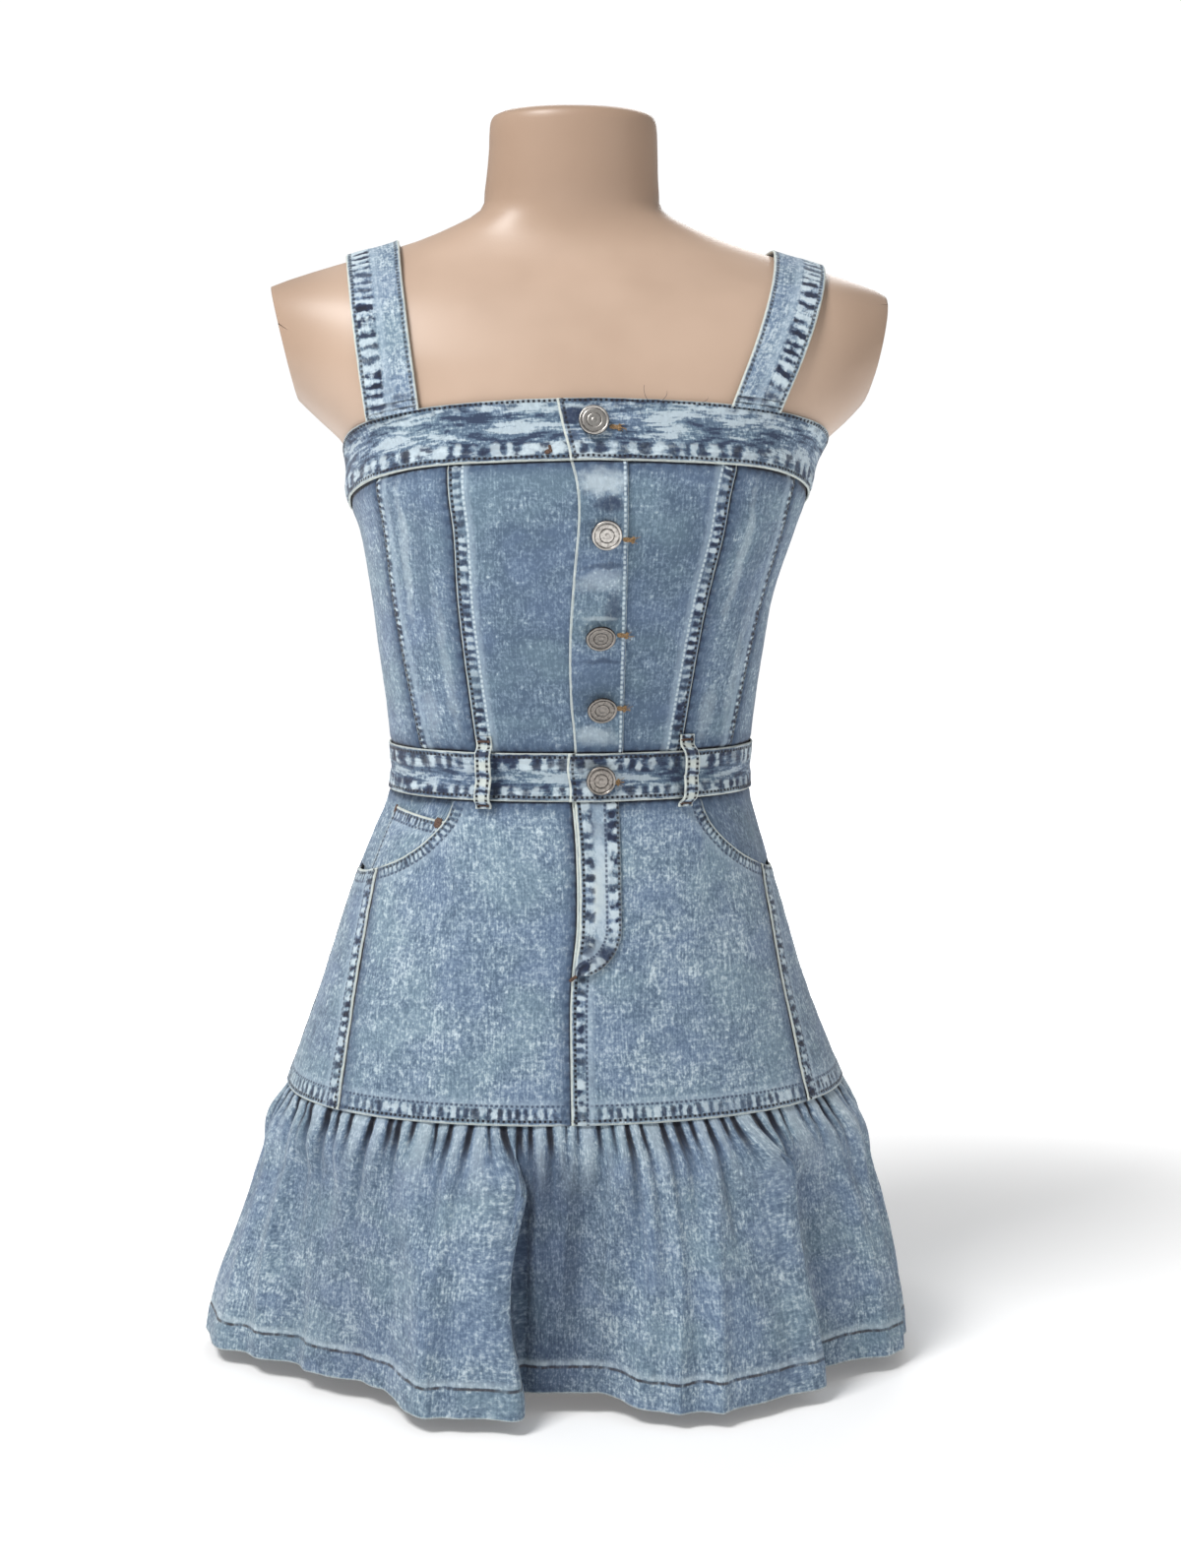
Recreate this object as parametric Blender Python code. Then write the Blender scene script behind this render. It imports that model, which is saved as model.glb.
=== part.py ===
"""A denim pinafore dress on a limbless dress form.

Metres, +Z up. The form stands on z = 0 with its axis on x = y = 0, and the
dress faces -Y. Left and right are the wearer's, so left is +X.

Level sections of the form and of the skirt are squared ovals. Each cloth
piece is a wall of two layers of points: a patch of the dress's surface,
given by the angles of its two seams and the heights of its two ends, and
the same patch moved in by the cloth's thickness.
"""

from math import atan2, copysign, cos, hypot, pi, radians, sin, sqrt

import bmesh
import bpy
from mathutils import Matrix, Vector
from mathutils.bvhtree import BVHTree

# ---- driving sizes ----
CLOTH = 0.0012  # one layer of denim
DOUBLE = 0.0020  # a folded strip: bands, straps, belt loops
SEAM = 0.0003  # gap between two pieces
EASE = 0.0013  # air between the form and the bodice
LAID = 0.0010  # gap under a layer that lies on a panel

WAIST = 0.3905  # height of the waistband's middle
WAISTBAND = 0.030
WAISTBAND_LOW = WAIST - WAISTBAND / 2
WAISTBAND_HIGH = WAIST + WAISTBAND / 2
BAND_PROUD = 0.0008  # how far a band stands out over the panels
RUFFLE_TOP = 0.1805
HEM = 0.0100
FRONT_EDGE = -0.0065  # x of the left front's free edge
LAP_END = 0.012  # x where the right front ends, under the left one
LAP_FADE = 0.040  # x where the left bands lie flat again
PLACKET_WIDTH = 0.0325
FORM_SEGMENTS = 34
FORM_CROWD = 0.18  # how far the form's points crowd towards its sides
BODICE_ROWS = 11
SKIRT_ROWS = 10

# The form's level sections; lean is the x of a section's middle.
BODY = (
    # z, half_width, front, back, square, lean
    (0.0000, 0.1286, 0.0926, 0.0988, 2.20, 0.0000),
    (0.0637, 0.1362, 0.0973, 0.1055, 2.20, 0.0000),
    (0.1372, 0.1421, 0.0998, 0.1100, 2.20, 0.0000),
    (0.2100, 0.1423, 0.0998, 0.1104, 2.20, 0.0000),
    (0.2615, 0.1372, 0.0984, 0.1060, 2.20, 0.0000),
    (0.3024, 0.1288, 0.0956, 0.0991, 2.20, 0.0000),
    (0.3379, 0.1189, 0.0903, 0.0908, 2.20, 0.0000),
    (0.3632, 0.1132, 0.0851, 0.0826, 2.15, 0.0000),
    (0.3784, 0.1130, 0.0835, 0.0795, 2.15, 0.0000),
    (0.3905, 0.1147, 0.0850, 0.0800, 2.15, 0.0000),
    (0.4060, 0.1156, 0.0864, 0.0795, 2.20, 0.0000),
    (0.4336, 0.1185, 0.0926, 0.0802, 2.22, 0.0000),
    (0.4645, 0.1228, 0.1005, 0.0826, 2.25, 0.0000),
    (0.5031, 0.1284, 0.1106, 0.0858, 2.30, 0.0010),
    (0.5416, 0.1379, 0.1191, 0.0895, 2.35, 0.0040),
    (0.5671, 0.1464, 0.1209, 0.0913, 2.40, 0.0044),
    (0.5866, 0.1492, 0.1163, 0.0916, 2.40, 0.0069),
    (0.5988, 0.1554, 0.1116, 0.0915, 2.40, 0.0079),
    (0.6110, 0.1685, 0.1071, 0.0914, 2.40, 0.0084),
    (0.6241, 0.1816, 0.1026, 0.0913, 2.40, 0.0079),
    (0.6367, 0.1922, 0.0981, 0.0912, 2.40, 0.0069),
    (0.6498, 0.2018, 0.0931, 0.0901, 2.40, 0.0059),
    (0.6691, 0.2103, 0.0831, 0.0871, 2.40, 0.0049),
    (0.6835, 0.2101, 0.0743, 0.0821, 2.35, 0.0039),
    (0.6941, 0.2001, 0.0654, 0.0761, 2.30, 0.0029),
    (0.7013, 0.1825, 0.0585, 0.0707, 2.20, 0.0024),
    (0.7118, 0.1492, 0.0497, 0.0624, 2.10, 0.0024),
    (0.7242, 0.1062, 0.0438, 0.0545, 2.05, 0.0019),
    (0.7333, 0.0827, 0.0418, 0.0501, 2.05, 0.0015),
    (0.7457, 0.0593, 0.0423, 0.0476, 2.05, 0.0010),
    (0.7599, 0.0558, 0.0442, 0.0452, 2.05, 0.0010),
    (0.7837, 0.0540, 0.0456, 0.0451, 2.05, 0.0019),
    (0.7988, 0.0533, 0.0460, 0.0450, 2.05, 0.0019),
    (0.8044, 0.0513, 0.0440, 0.0431, 2.05, 0.0019),
    (0.8068, 0.0464, 0.0397, 0.0387, 2.05, 0.0019),
)
FORM_RINGS = (
    0.000, 0.110, 0.210, 0.285, 0.335, 0.363, 0.373, 0.382, 0.3905, 0.3985, 0.406, 0.4185,
    0.4345, 0.4545, 0.4775, 0.503, 0.528, 0.549, 0.564, 0.577, 0.588, 0.599, 0.611,
    0.624, 0.637, 0.650, 0.664, 0.677, 0.688, 0.696, 0.702, 0.709, 0.7165, 0.7245,
    0.733, 0.745, 0.760, 0.783, 0.799, 0.8045, 0.8068,
)

# The dress's own sections, from the hem's level to the waist.
SKIRT = (
    # z, half_width, front, back, square, lean
    (0.0000, 0.2367, 0.1749, 0.1873, 2.05, -0.0021),
    (0.0425, 0.2298, 0.1713, 0.1816, 2.05, -0.0010),
    (0.0848, 0.2188, 0.1657, 0.1738, 2.05, -0.0010),
    (0.1268, 0.2059, 0.1580, 0.1631, 2.05, -0.0015),
    (0.1581, 0.1958, 0.1490, 0.1541, 2.10, -0.0020),
    (0.1810, 0.1848, 0.1366, 0.1432, 2.15, -0.0036),
    (0.2476, 0.1598, 0.1212, 0.1283, 2.15, -0.0048),
    (0.3075, 0.1408, 0.1091, 0.1136, 2.15, -0.0042),
    (0.3471, 0.1271, 0.0988, 0.0988, 2.15, -0.0022),
    (0.3668, 0.1201, 0.0916, 0.0891, 2.15, -0.0008),
    (0.3905, 0.1167, 0.0869, 0.0819, 2.15, 0.0000),
)

# The top band's upper edge and its width, by the angle from the front.
BAND = (
    # angle, top, width
    (0, 0.6241, 0.0375),
    (25, 0.6226, 0.0375),
    (46, 0.6187, 0.0365),
    (60, 0.6115, 0.0356),
    (75, 0.5998, 0.0337),
    (90, 0.5886, 0.0323),
    (120, 0.5827, 0.0323),
    (180, 0.5817, 0.0323),
)

# Seams that run down the dress, on both sides of it.
SEAMS = {
    # name: x_low, z_low, x_high, z_high, on the back; x from the section's middle
    "princess": (0.064, WAISTBAND_HIGH, 0.0885, 0.582, False),
    "side_front": (0.099, WAISTBAND_HIGH, 0.130, 0.568, False),
    "back": (0.066, WAISTBAND_HIGH, 0.084, 0.5495, True),
    "skirt_front": (0.1495, RUFFLE_TOP, 0.1245, 0.3275, False),
}

# The scooped pocket edge: a quarter oval in angle and height.
SCOOP_START, SCOOP_END = radians(48.5), radians(90)
SCOOP_DROP = 0.0530
FACING_TUCK = 0.008  # how far the facing goes on under the skirt
FACING_DEPTH, FACING_CLOTH = 0.0034, 0.0010
FACING_RISE = radians(80)  # from here the facing comes out to the side seam
COIN_DEPTH = 0.0018
COIN_START, COIN_EDGE = radians(50.2), radians(73)
COIN_HIGH, COIN_LOW = 0.3660, 0.3611  # its upper edge at the side and at the scoop

FLY_WIDTH, FLY_STRAIGHT, FLY_END, FLY_ROUND = 0.028, 0.300, 0.2707, 0.0305

# The ruffle: gathers at its seam, which run out into large folds at the hem.
GATHERS = 90
FOLDS = (
    # angle, reach past the plain cone at the hem
    (-90, 0.007),
    (-62, -0.021),
    (-49, -0.025),
    (-43, -0.020),
    (-33, 0.012),
    (-21, 0.010),
    (-14, -0.027),
    (2, -0.028),
    (16, 0.006),
    (26, 0.012),
    (40, 0.001),
    (54, -0.018),
    (71, -0.001),
    (90, -0.015),
    (109, 0.020),
    (125, -0.014),
    (142, 0.010),
    (157, -0.018),
    (171, 0.009),
    (186, -0.014),
    (202, 0.012),
    (219, -0.016),
    (236, 0.008),
    (252, -0.012),
    (270, 0.007),
)
RUFFLE_ROWS = (
    # drop from the seam to the hem, gather depth
    (0.00, 0.0010),
    (0.07, 0.0025),
    (0.18, 0.0021),
    (0.34, 0.0013),
    (0.55, 0.0006),
    (0.78, 0.0002),
    (1.00, 0.0001),
)
RUFFLE_CLOTH = 0.0014
PUFF = 0.0022  # the gathers swell out just under the seam

# Shoulder straps.
STRAP_WIDTH = 0.0335
STRAPS = {
    # name: x at the front band, at the shoulder, at the back band
    "strap_right": (-0.115, -0.127, -0.083),
    "strap_left": (0.105, 0.146, 0.085),
}
STRAP_ROWS, STRAP_COLUMNS = 26, 3
STRAP_NEAR = radians(4)
STRAP_CENTRE = 0.611  # height that the strap's points are turned about

# Belt loops.
LOOPS = {
    # name: angle, from the x of the loop
    "belt_loop_front_right": (-0.0575, False),
    "belt_loop_front_left": (0.0645, False),
    "belt_loop_back_right": (-0.062, True),
    "belt_loop_back_centre": (0.0, True),
    "belt_loop_back_left": (0.062, True),
}
LOOP_WIDTH, LOOP_CLOTH = 0.0105, 0.0015
LOOP_PROFILE = (
    # z, height of the loop's inner side over the panels
    (0.3705, 0.0009),
    (0.3727, 0.0016),
    (0.3757, 0.0064),
    (0.3800, 0.0083),
    (0.3905, 0.0085),
    (0.4015, 0.0082),
    (0.4060, 0.0062),
    (0.4093, 0.0014),
    (0.4115, 0.0008),
    (0.4160, 0.0008),
)

# Shank buttons.
BUTTONS = {
    # name: x, z, tilt down in degrees
    "button_1": (0.0059, 0.6081, 4),
    "button_2": (0.0128, 0.5424, 3),
    "button_3": (0.0102, 0.4813, 20),
    "button_4": (0.0120, 0.4359, 16),
    "button_5": (0.0118, 0.3884, 16),
}
BUTTON_STEPS = 14
BUTTON_PROFILE = (
    # radius, height over the cloth
    (0.0000, 0.0000),
    (0.0034, 0.0000),
    (0.0030, 0.0020),
    (0.0085, 0.0024),
    (0.0093, 0.0034),
    (0.0089, 0.0043),
    (0.0080, 0.0046),
    (0.0070, 0.0041),
    (0.0000, 0.0046),
)


# ---- curves and sections ----
def row_at(table, at):
    """The other columns of a table at one value of its first, on a smooth curve."""
    at = min(max(at, table[0][0]), table[-1][0])
    k = 0
    while k < len(table) - 2 and at > table[k + 1][0]:
        k += 1
    before, low = table[max(k - 1, 0)], table[k]
    high, after = table[k + 1], table[min(k + 2, len(table) - 1)]
    span = high[0] - low[0]
    t = (at - low[0]) / span
    values = []
    for column in range(1, len(low)):
        leave = (high[column] - before[column]) / (high[0] - before[0]) * span
        arrive = (after[column] - low[column]) / (after[0] - low[0]) * span
        values.append(
            low[column] * (1 - t) ** 2 * (1 + 2 * t)
            + leave * t * (1 - t) ** 2
            + high[column] * t * t * (3 - 2 * t)
            - arrive * t * t * (1 - t)
        )
    return values


def body_section(z):
    return row_at(BODY, z)


def dress_section(z):
    """Half width, front, back, squareness and lean of the dress's outside at height z."""
    if z < WAIST:
        return row_at(SKIRT, z)
    half, front, back, square, lean = row_at(BODY, z)
    return half + CLOTH + EASE, front + CLOTH + EASE, back + CLOTH + EASE, square, lean


def oval_point(section, angle, out=0.0):
    """x and y on a level section; angle runs from the front towards the wearer's left."""
    half, front, back, square, lean = section
    side, ahead = sin(angle), cos(angle)
    depth = front if ahead > 0 else back
    radius = ((abs(side) / half) ** square + (abs(ahead) / depth) ** square) ** (-1 / square)
    x, y = radius * side, -radius * ahead
    normal_x = copysign((abs(x) / half) ** (square - 1) / half, side)
    normal_y = -copysign((abs(y) / depth) ** (square - 1) / depth, ahead)
    length = hypot(normal_x, normal_y)
    return x + lean + out * normal_x / length, y + out * normal_y / length


def on_dress(angle, z, out=0.0):
    x, y = oval_point(dress_section(z), angle, out)
    return Vector((x, y, z))


def facing_at(angle, z):
    """The direction that the dress's surface faces, its slope included."""
    step = 0.002
    along = on_dress(angle + 0.02, z) - on_dress(angle - 0.02, z)
    up = on_dress(angle, z + step) - on_dress(angle, z - step)
    return along.cross(up).normalized()


def angle_at(x, z, on_back=False):
    """The angle of the point of the dress with this x and z."""
    half, front, back, square, lean = dress_section(z)
    depth = back if on_back else front
    y = depth * (1 - (abs(x - lean) / half) ** square) ** (1 / square)
    return atan2(x - lean, -y if on_back else y)


def band_top(angle):
    turned = abs((angle + pi) % (2 * pi) - pi)
    return row_at(BAND, turned * 180 / pi)[0]


def band_low(angle):
    turned = abs((angle + pi) % (2 * pi) - pi)
    top, width = row_at(BAND, turned * 180 / pi)
    return top - width


def scoop_point(turn):
    """Angle and height on the pocket edge; turn goes from 0 at the waistband to pi / 2."""
    angle = SCOOP_START + (SCOOP_END - SCOOP_START) * (1 - cos(turn))
    return angle, WAISTBAND_LOW - SCOOP_DROP * sin(turn)


def scoop_height(angle):
    share = (abs(angle) - SCOOP_START) / (SCOOP_END - SCOOP_START)
    share = min(max(share, 0), 1)
    return WAISTBAND_LOW - SCOOP_DROP * sqrt(1 - (1 - share) ** 2)


def seam(name, side):
    """A seam of SEAMS as a function from height to angle; side is 1 on the left, -1 on the right."""
    x_low, z_low, x_high, z_high, on_back = SEAMS[name]

    def angle(z):
        x = x_low + (x_high - x_low) * (z - z_low) / (z_high - z_low)
        return side * angle_at(x + dress_section(z)[4], z, on_back)

    return angle


def upright(x):
    """An edge at one x on the front, such as the lap's free edge."""
    return lambda z: angle_at(x, z)


def radial(angle):
    return lambda z: angle


def level(z):
    return lambda angle: z


# ---- materials and meshes ----
def finish(name, colour, roughness, metallic=0.0):
    made = bpy.data.materials.new(name)
    made.use_nodes = True
    shader = made.node_tree.nodes["Principled BSDF"]
    shader.inputs["Base Color"].default_value = (*colour, 1)
    shader.inputs["Roughness"].default_value = roughness
    shader.inputs["Metallic"].default_value = metallic
    made.diffuse_color = (*colour, 1)
    return made


def add_object(name, bm, made, smooth_angle=40):
    mesh = bpy.data.meshes.new(name)
    bm.to_mesh(mesh)
    bm.free()
    mesh.materials.append(made)
    mesh.shade_smooth()
    mesh.set_sharp_from_angle(angle=radians(smooth_angle))
    added = bpy.data.objects.new(name, mesh)
    bpy.context.scene.collection.objects.link(added)
    added.parent = bpy.data.objects["dress_on_form"]
    return added


def face_outwards(bm):
    bmesh.ops.recalc_face_normals(bm, faces=bm.faces[:])
    if bm.calc_volume(signed=True) < 0:
        bmesh.ops.reverse_faces(bm, faces=bm.faces[:])


def wall(name, columns, rows, place, made):
    """A closed wall: a grid with a second layer, each corner moved to place(column, row, inner)."""
    bm = bmesh.new()
    bmesh.ops.create_grid(bm, x_segments=columns, y_segments=rows, size=0.5)
    second = bmesh.ops.extrude_face_region(bm, geom=bm.faces[:], use_keep_orig=True)
    for item in second["geom"]:
        if isinstance(item, bmesh.types.BMVert):
            item.co.z = 1
    for corner in bm.verts:
        column = round((corner.co.x + 0.5) * columns)
        row = round((corner.co.y + 0.5) * rows)
        corner.co = place(column, row, corner.co.z > 0.5)
    face_outwards(bm)
    return add_object(name, bm, made)


# ---- patches of the dress ----
def edge_points(left, right, height, columns):
    """Share between the two seams and height, for each column along an end of a patch."""
    points = []
    for column in range(columns + 1):
        share = column / columns
        z = height(0.0)
        for _ in range(8):
            z = height(left(z) + (right(z) - left(z)) * share)
        points.append((share, z))
    return points


def patch(left, right, low_points, high_points, rows):
    """Angle and height for each row and column between two seams and two ends."""
    grid = []
    for row in range(rows + 1):
        up = row / rows
        line = []
        for (low_share, low_z), (high_share, high_z) in zip(low_points, high_points):
            low, high = low_z + SEAM / 2, high_z - SEAM / 2
            z = low + (high - low) * up
            share = low_share + (high_share - low_share) * up
            gap = SEAM / 2 / on_dress(left(z), z).xy.length
            first, last = left(z) + gap, right(z) - gap
            line.append((first + (last - first) * share, z))
        grid.append(line)
    return grid


def cloth_patch(name, grid, made, proud=0.0, thick=CLOTH):
    """The wall of a patch; proud is its outside over the panels, or a function of the angle and z."""

    def place(column, row, inner):
        angle, z = grid[row][column]
        out = proud(angle, z) if callable(proud) else proud
        return on_dress(angle, z, out - thick if inner else out)

    return wall(name, len(grid[0]) - 1, len(grid) - 1, place, made)


def panel(name, left, right, low, high, columns, rows, made, proud=0.0, thick=CLOTH):
    grid = patch(
        left, right, edge_points(left, right, low, columns), edge_points(left, right, high, columns), rows
    )
    return cloth_patch(name, grid, made, proud, thick)


def both_sides(left, right, side):
    """The two edges in order of angle, for the left side or mirrored to the right one."""
    if side > 0:
        return left, right
    return (lambda z: -right(z)), (lambda z: -left(z))


SIDES = {"left": 1, "right": -1}


def lapped(angle, z):
    """Height of a left band over the panels: one layer up at the front edge, flat past the lap."""
    x = on_dress(angle, z).x
    if angle > pi / 2:
        return BAND_PROUD
    share = min(max((x - LAP_END - 0.004) / (LAP_FADE - LAP_END - 0.004), 0), 1)
    return BAND_PROUD + (DOUBLE + SEAM) * (1 - share * share * (3 - 2 * share))


def bodice(denim):
    for word, side in SIDES.items():
        front_seam = seam("princess", side)
        if side > 0:
            centre_edges = (upright(LAP_END), front_seam)
        else:
            centre_edges = (front_seam, upright(LAP_END))
        panel(f"centre_front_{word}", *centre_edges, level(WAISTBAND_HIGH), band_low, 5, BODICE_ROWS, denim)
        edges = both_sides(seam("princess", 1), seam("side_front", 1), side)
        panel(f"side_front_{word}", *edges, level(WAISTBAND_HIGH), band_low, 4, BODICE_ROWS, denim)
        edges = both_sides(seam("side_front", 1), seam("back", 1), side)
        panel(f"side_{word}", *edges, level(WAISTBAND_HIGH), band_low, 12, BODICE_ROWS, denim)
        edges = both_sides(seam("back", 1), radial(pi), side)
        panel(f"centre_back_{word}", *edges, level(WAISTBAND_HIGH), band_low, 5, BODICE_ROWS, denim)
    placket_edges = (upright(FRONT_EDGE), upright(FRONT_EDGE + PLACKET_WIDTH))
    panel(
        "button_placket", *placket_edges, level(WAISTBAND_HIGH), band_low, 2, BODICE_ROWS, denim, LAID + CLOTH
    )


def bands(denim):
    side_left, side_right = radial(pi / 2), radial(-pi / 2)
    panel("top_band_left", upright(FRONT_EDGE), side_left, band_low, band_top, 20, 3, denim, lapped, DOUBLE)
    panel("top_band_right", side_right, upright(LAP_END), band_low, band_top, 20, 3, denim, BAND_PROUD, DOUBLE)
    panel("top_band_back", side_left, radial(3 * pi / 2), band_low, band_top, 32, 2, denim, BAND_PROUD, DOUBLE)
    ends = (level(WAISTBAND_LOW), level(WAISTBAND_HIGH))
    panel("waistband_left", upright(FRONT_EDGE), radial(pi), *ends, 32, 2, denim, lapped, DOUBLE)
    panel("waistband_right", radial(-pi), upright(LAP_END), *ends, 30, 2, denim, BAND_PROUD, DOUBLE)


def scoop_edge(left, right, straight, curved):
    """The upper end of a skirt front: along the waistband, then down the scoop to the side seam."""
    turn_low, turn_high = 0.0, pi / 2
    for _ in range(40):
        turn = (turn_low + turn_high) / 2
        angle, z = scoop_point(turn)
        if angle < right(z):
            turn_low = turn
        else:
            turn_high = turn
    points = [(SCOOP_START * k / straight, WAISTBAND_LOW) for k in range(straight)]
    points[0] = (left(WAISTBAND_LOW), WAISTBAND_LOW)
    points += [scoop_point(turn_high * k / curved) for k in range(curved + 1)]
    return [((angle - left(z)) / (right(z) - left(z)), z) for angle, z in points]


def mirrored(grid):
    return [[(-angle, z) for angle, z in reversed(line)] for line in grid]


def pocket_facing(name, side, denim):
    """The layer behind a scoop; it comes out to the side seam above the scoop."""
    columns, rows = 9, 4
    first, last = SCOOP_START - radians(3), pi / 2

    def place(column, row, inner):
        angle = first + (last - first) * column / columns
        angle -= SEAM / 2 / 0.12 if column == columns else 0
        low = scoop_height(angle)
        z = low - FACING_TUCK
        if row:
            z = low + 0.002 + (WAISTBAND_LOW - SEAM / 2 - low - 0.002) * (row - 1) / (rows - 1)
        rise = max(angle - FACING_RISE, 0) / (last - FACING_RISE) if row > 1 else 0
        out = -FACING_DEPTH * (1 - rise) - (FACING_CLOTH if inner else 0)
        return on_dress(side * angle, z, out)

    wall(name, columns, rows, place, denim)


def skirt(denim):
    front_seam, side_seam = seam("skirt_front", 1), radial(pi / 2)
    centre = {1: upright(FRONT_EDGE), -1: lambda z: -angle_at(FRONT_EDGE, z)}
    straight, curved = 5, 5
    for word, side in SIDES.items():
        top = scoop_edge(centre[side], front_seam, straight, curved)
        low = edge_points(centre[side], front_seam, level(RUFFLE_TOP), straight + curved)
        grid = patch(centre[side], front_seam, low, top, SKIRT_ROWS)
        cloth_patch(f"skirt_front_{word}", grid if side > 0 else mirrored(grid), denim)

        low = edge_points(front_seam, side_seam, level(RUFFLE_TOP), 4)
        top = edge_points(front_seam, side_seam, scoop_height, 4)
        top[0] = (0.0, scoop_edge(centre[side], front_seam, straight, curved)[-1][1])
        grid = patch(front_seam, side_seam, low, top, SKIRT_ROWS)
        cloth_patch(f"skirt_side_{word}", grid if side > 0 else mirrored(grid), denim)

        edges = both_sides(side_seam, radial(pi), side)
        panel(f"skirt_back_{word}", *edges, level(RUFFLE_TOP), level(WAISTBAND_LOW), 11, SKIRT_ROWS, denim)

        pocket_facing(f"pocket_facing_{word}", side, denim)

    coin_edges = (radial(COIN_START), radial(COIN_EDGE))
    slope = (COIN_HIGH - COIN_LOW) / (COIN_EDGE - COIN_START)
    low = edge_points(*coin_edges, lambda a: scoop_height(a) - FACING_TUCK / 2, 6)
    top = edge_points(*coin_edges, lambda a: COIN_HIGH - slope * (COIN_EDGE - a), 6)
    grid = mirrored(patch(*coin_edges, low, top, 4))
    cloth_patch("coin_pocket", grid, denim, -COIN_DEPTH, FACING_CLOTH)


def fly(denim):
    """The J-shaped layer that is stitched over the top of the centre front seam."""
    left = upright(FRONT_EDGE + 0.002)

    def right(z):
        sunk = max(FLY_STRAIGHT - z, 0) / FLY_ROUND
        return angle_at(FRONT_EDGE + 0.002 + FLY_WIDTH * sqrt(1 - sunk * sunk), z)

    panel("fly", left, right, level(FLY_END), level(WAISTBAND_LOW), 3, 12, denim, LAID + CLOTH)


# ---- ruffle ----
def fold_reach(angle):
    """How far the hem stands past the plain cone, eased from row to row of FOLDS."""
    degrees = (angle * 180 / pi + 90) % 360 - 90
    for (start, reach), (end, next_reach) in zip(FOLDS, FOLDS[1:]):
        if start <= degrees <= end:
            share = (1 - cos(pi * (degrees - start) / (end - start))) / 2
            return reach + (next_reach - reach) * share
    return FOLDS[0][1]


def ruffle_base(angle, drop):
    """The ruffle's outside without its gathers; drop goes from 0 at the seam to 1 at the hem."""
    reach = fold_reach(angle)
    hem = HEM + max(-reach, 0) * 0.15
    top = RUFFLE_TOP - SEAM / 2
    z = top + (hem - top) * drop
    puff = PUFF * sin(pi * min(drop / 0.3, 1)) ** 2
    return on_dress(angle, z, puff + reach * drop ** 1.35)


def ruffle_point(angle, drop, gather, inner):
    step = radians(0.5)
    along = ruffle_base(angle + step, drop) - ruffle_base(angle - step, drop)
    outward = Vector((along.y, -along.x, 0)).normalized()
    uneven = 0.8 + 0.2 * sin(7.3 * angle) + 0.15 * sin(17.1 * angle + 1)
    relief = gather * uneven * cos(GATHERS * angle) - gather
    return ruffle_base(angle, drop) + outward * (relief - (RUFFLE_CLOTH if inner else 0))


def ruffle(denim):
    for word, start in (("front", -pi / 2), ("back", pi / 2)):
        columns = GATHERS

        def place(column, row, inner):
            angle = start + pi * column / columns
            gap = SEAM / 2 / 0.2
            angle += gap if column == 0 else -gap if column == columns else 0
            drop, gather = RUFFLE_ROWS[len(RUFFLE_ROWS) - 1 - row]
            return ruffle_point(angle, drop, gather, inner)

        wall(f"ruffle_{word}", columns, len(RUFFLE_ROWS) - 1, place, denim)


# ---- what lies over the form and the bands ----
def strap(name, surface, denim):
    """A strap over the shoulder: rays turned about a point inside it find the form's surface."""
    x_front, x_top, x_back = STRAPS[name]

    def centre_x(turn):
        if turn < pi / 2:
            return x_front + (x_top - x_front) * max(sin(turn), 0)
        share = min((turn - pi / 2) / (pi / 2), 1)
        return x_top + (x_back - x_top) * (1 - cos(pi * share)) / 2

    def at(turn, across, out):
        """A taut strap lies on the highest points near it, so the longest of nine rays counts."""
        reach = 0
        for nod in (-STRAP_NEAR, 0, STRAP_NEAR):
            for shift in (-STRAP_WIDTH / 6, 0, STRAP_WIDTH / 6):
                ray = Vector((0, -cos(turn + nod), sin(turn + nod)))
                start = Vector((centre_x(turn) + across + shift, 0, STRAP_CENTRE))
                reach = max(reach, (surface.ray_cast(start, ray)[0] - start).length)
        direction = Vector((0, -cos(turn), sin(turn)))
        start = Vector((centre_x(turn) + across, 0, STRAP_CENTRE))
        return start + direction * (reach + SEAM + out)

    def end_turn(across, first, last):
        """The turn at which the strap meets the band's upper edge."""
        for _ in range(30):
            middle = (first + last) / 2
            hit = at(middle, across, DOUBLE)
            if hit.z > band_top(atan2(hit.x - dress_section(hit.z)[4], -hit.y)) + SEAM:
                last = middle
            else:
                first = middle
        return last

    def place(column, row, inner):
        across = STRAP_WIDTH * (column / STRAP_COLUMNS - 0.5)
        start = end_turn(across, radians(-12), radians(60))
        end = end_turn(across, radians(220), radians(120))
        turn = start + (end - start) * row / STRAP_ROWS
        return at(turn, across, 0 if inner else DOUBLE)

    return wall(name, STRAP_COLUMNS, STRAP_ROWS, place, denim)


def belt_loop(name, denim):
    x, on_back = LOOPS[name]
    angle = angle_at(x, WAIST, on_back)
    radius = on_dress(angle, WAIST).xy.length

    def place(column, row, inner):
        z, height = LOOP_PROFILE[row]
        out = height + (0 if inner else LOOP_CLOTH)
        middle = on_dress(angle, WAIST, out)
        normal = (on_dress(angle, WAIST, 0.01) - on_dress(angle, WAIST)).normalized()
        across = Vector((-normal.y, normal.x, 0)) * LOOP_WIDTH * (column - 0.5)
        stray = on_dress(angle, z, out) - on_dress(angle, WAIST, out)
        return middle + stray + across

    return wall(name, 1, len(LOOP_PROFILE) - 1, place, denim)


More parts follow.
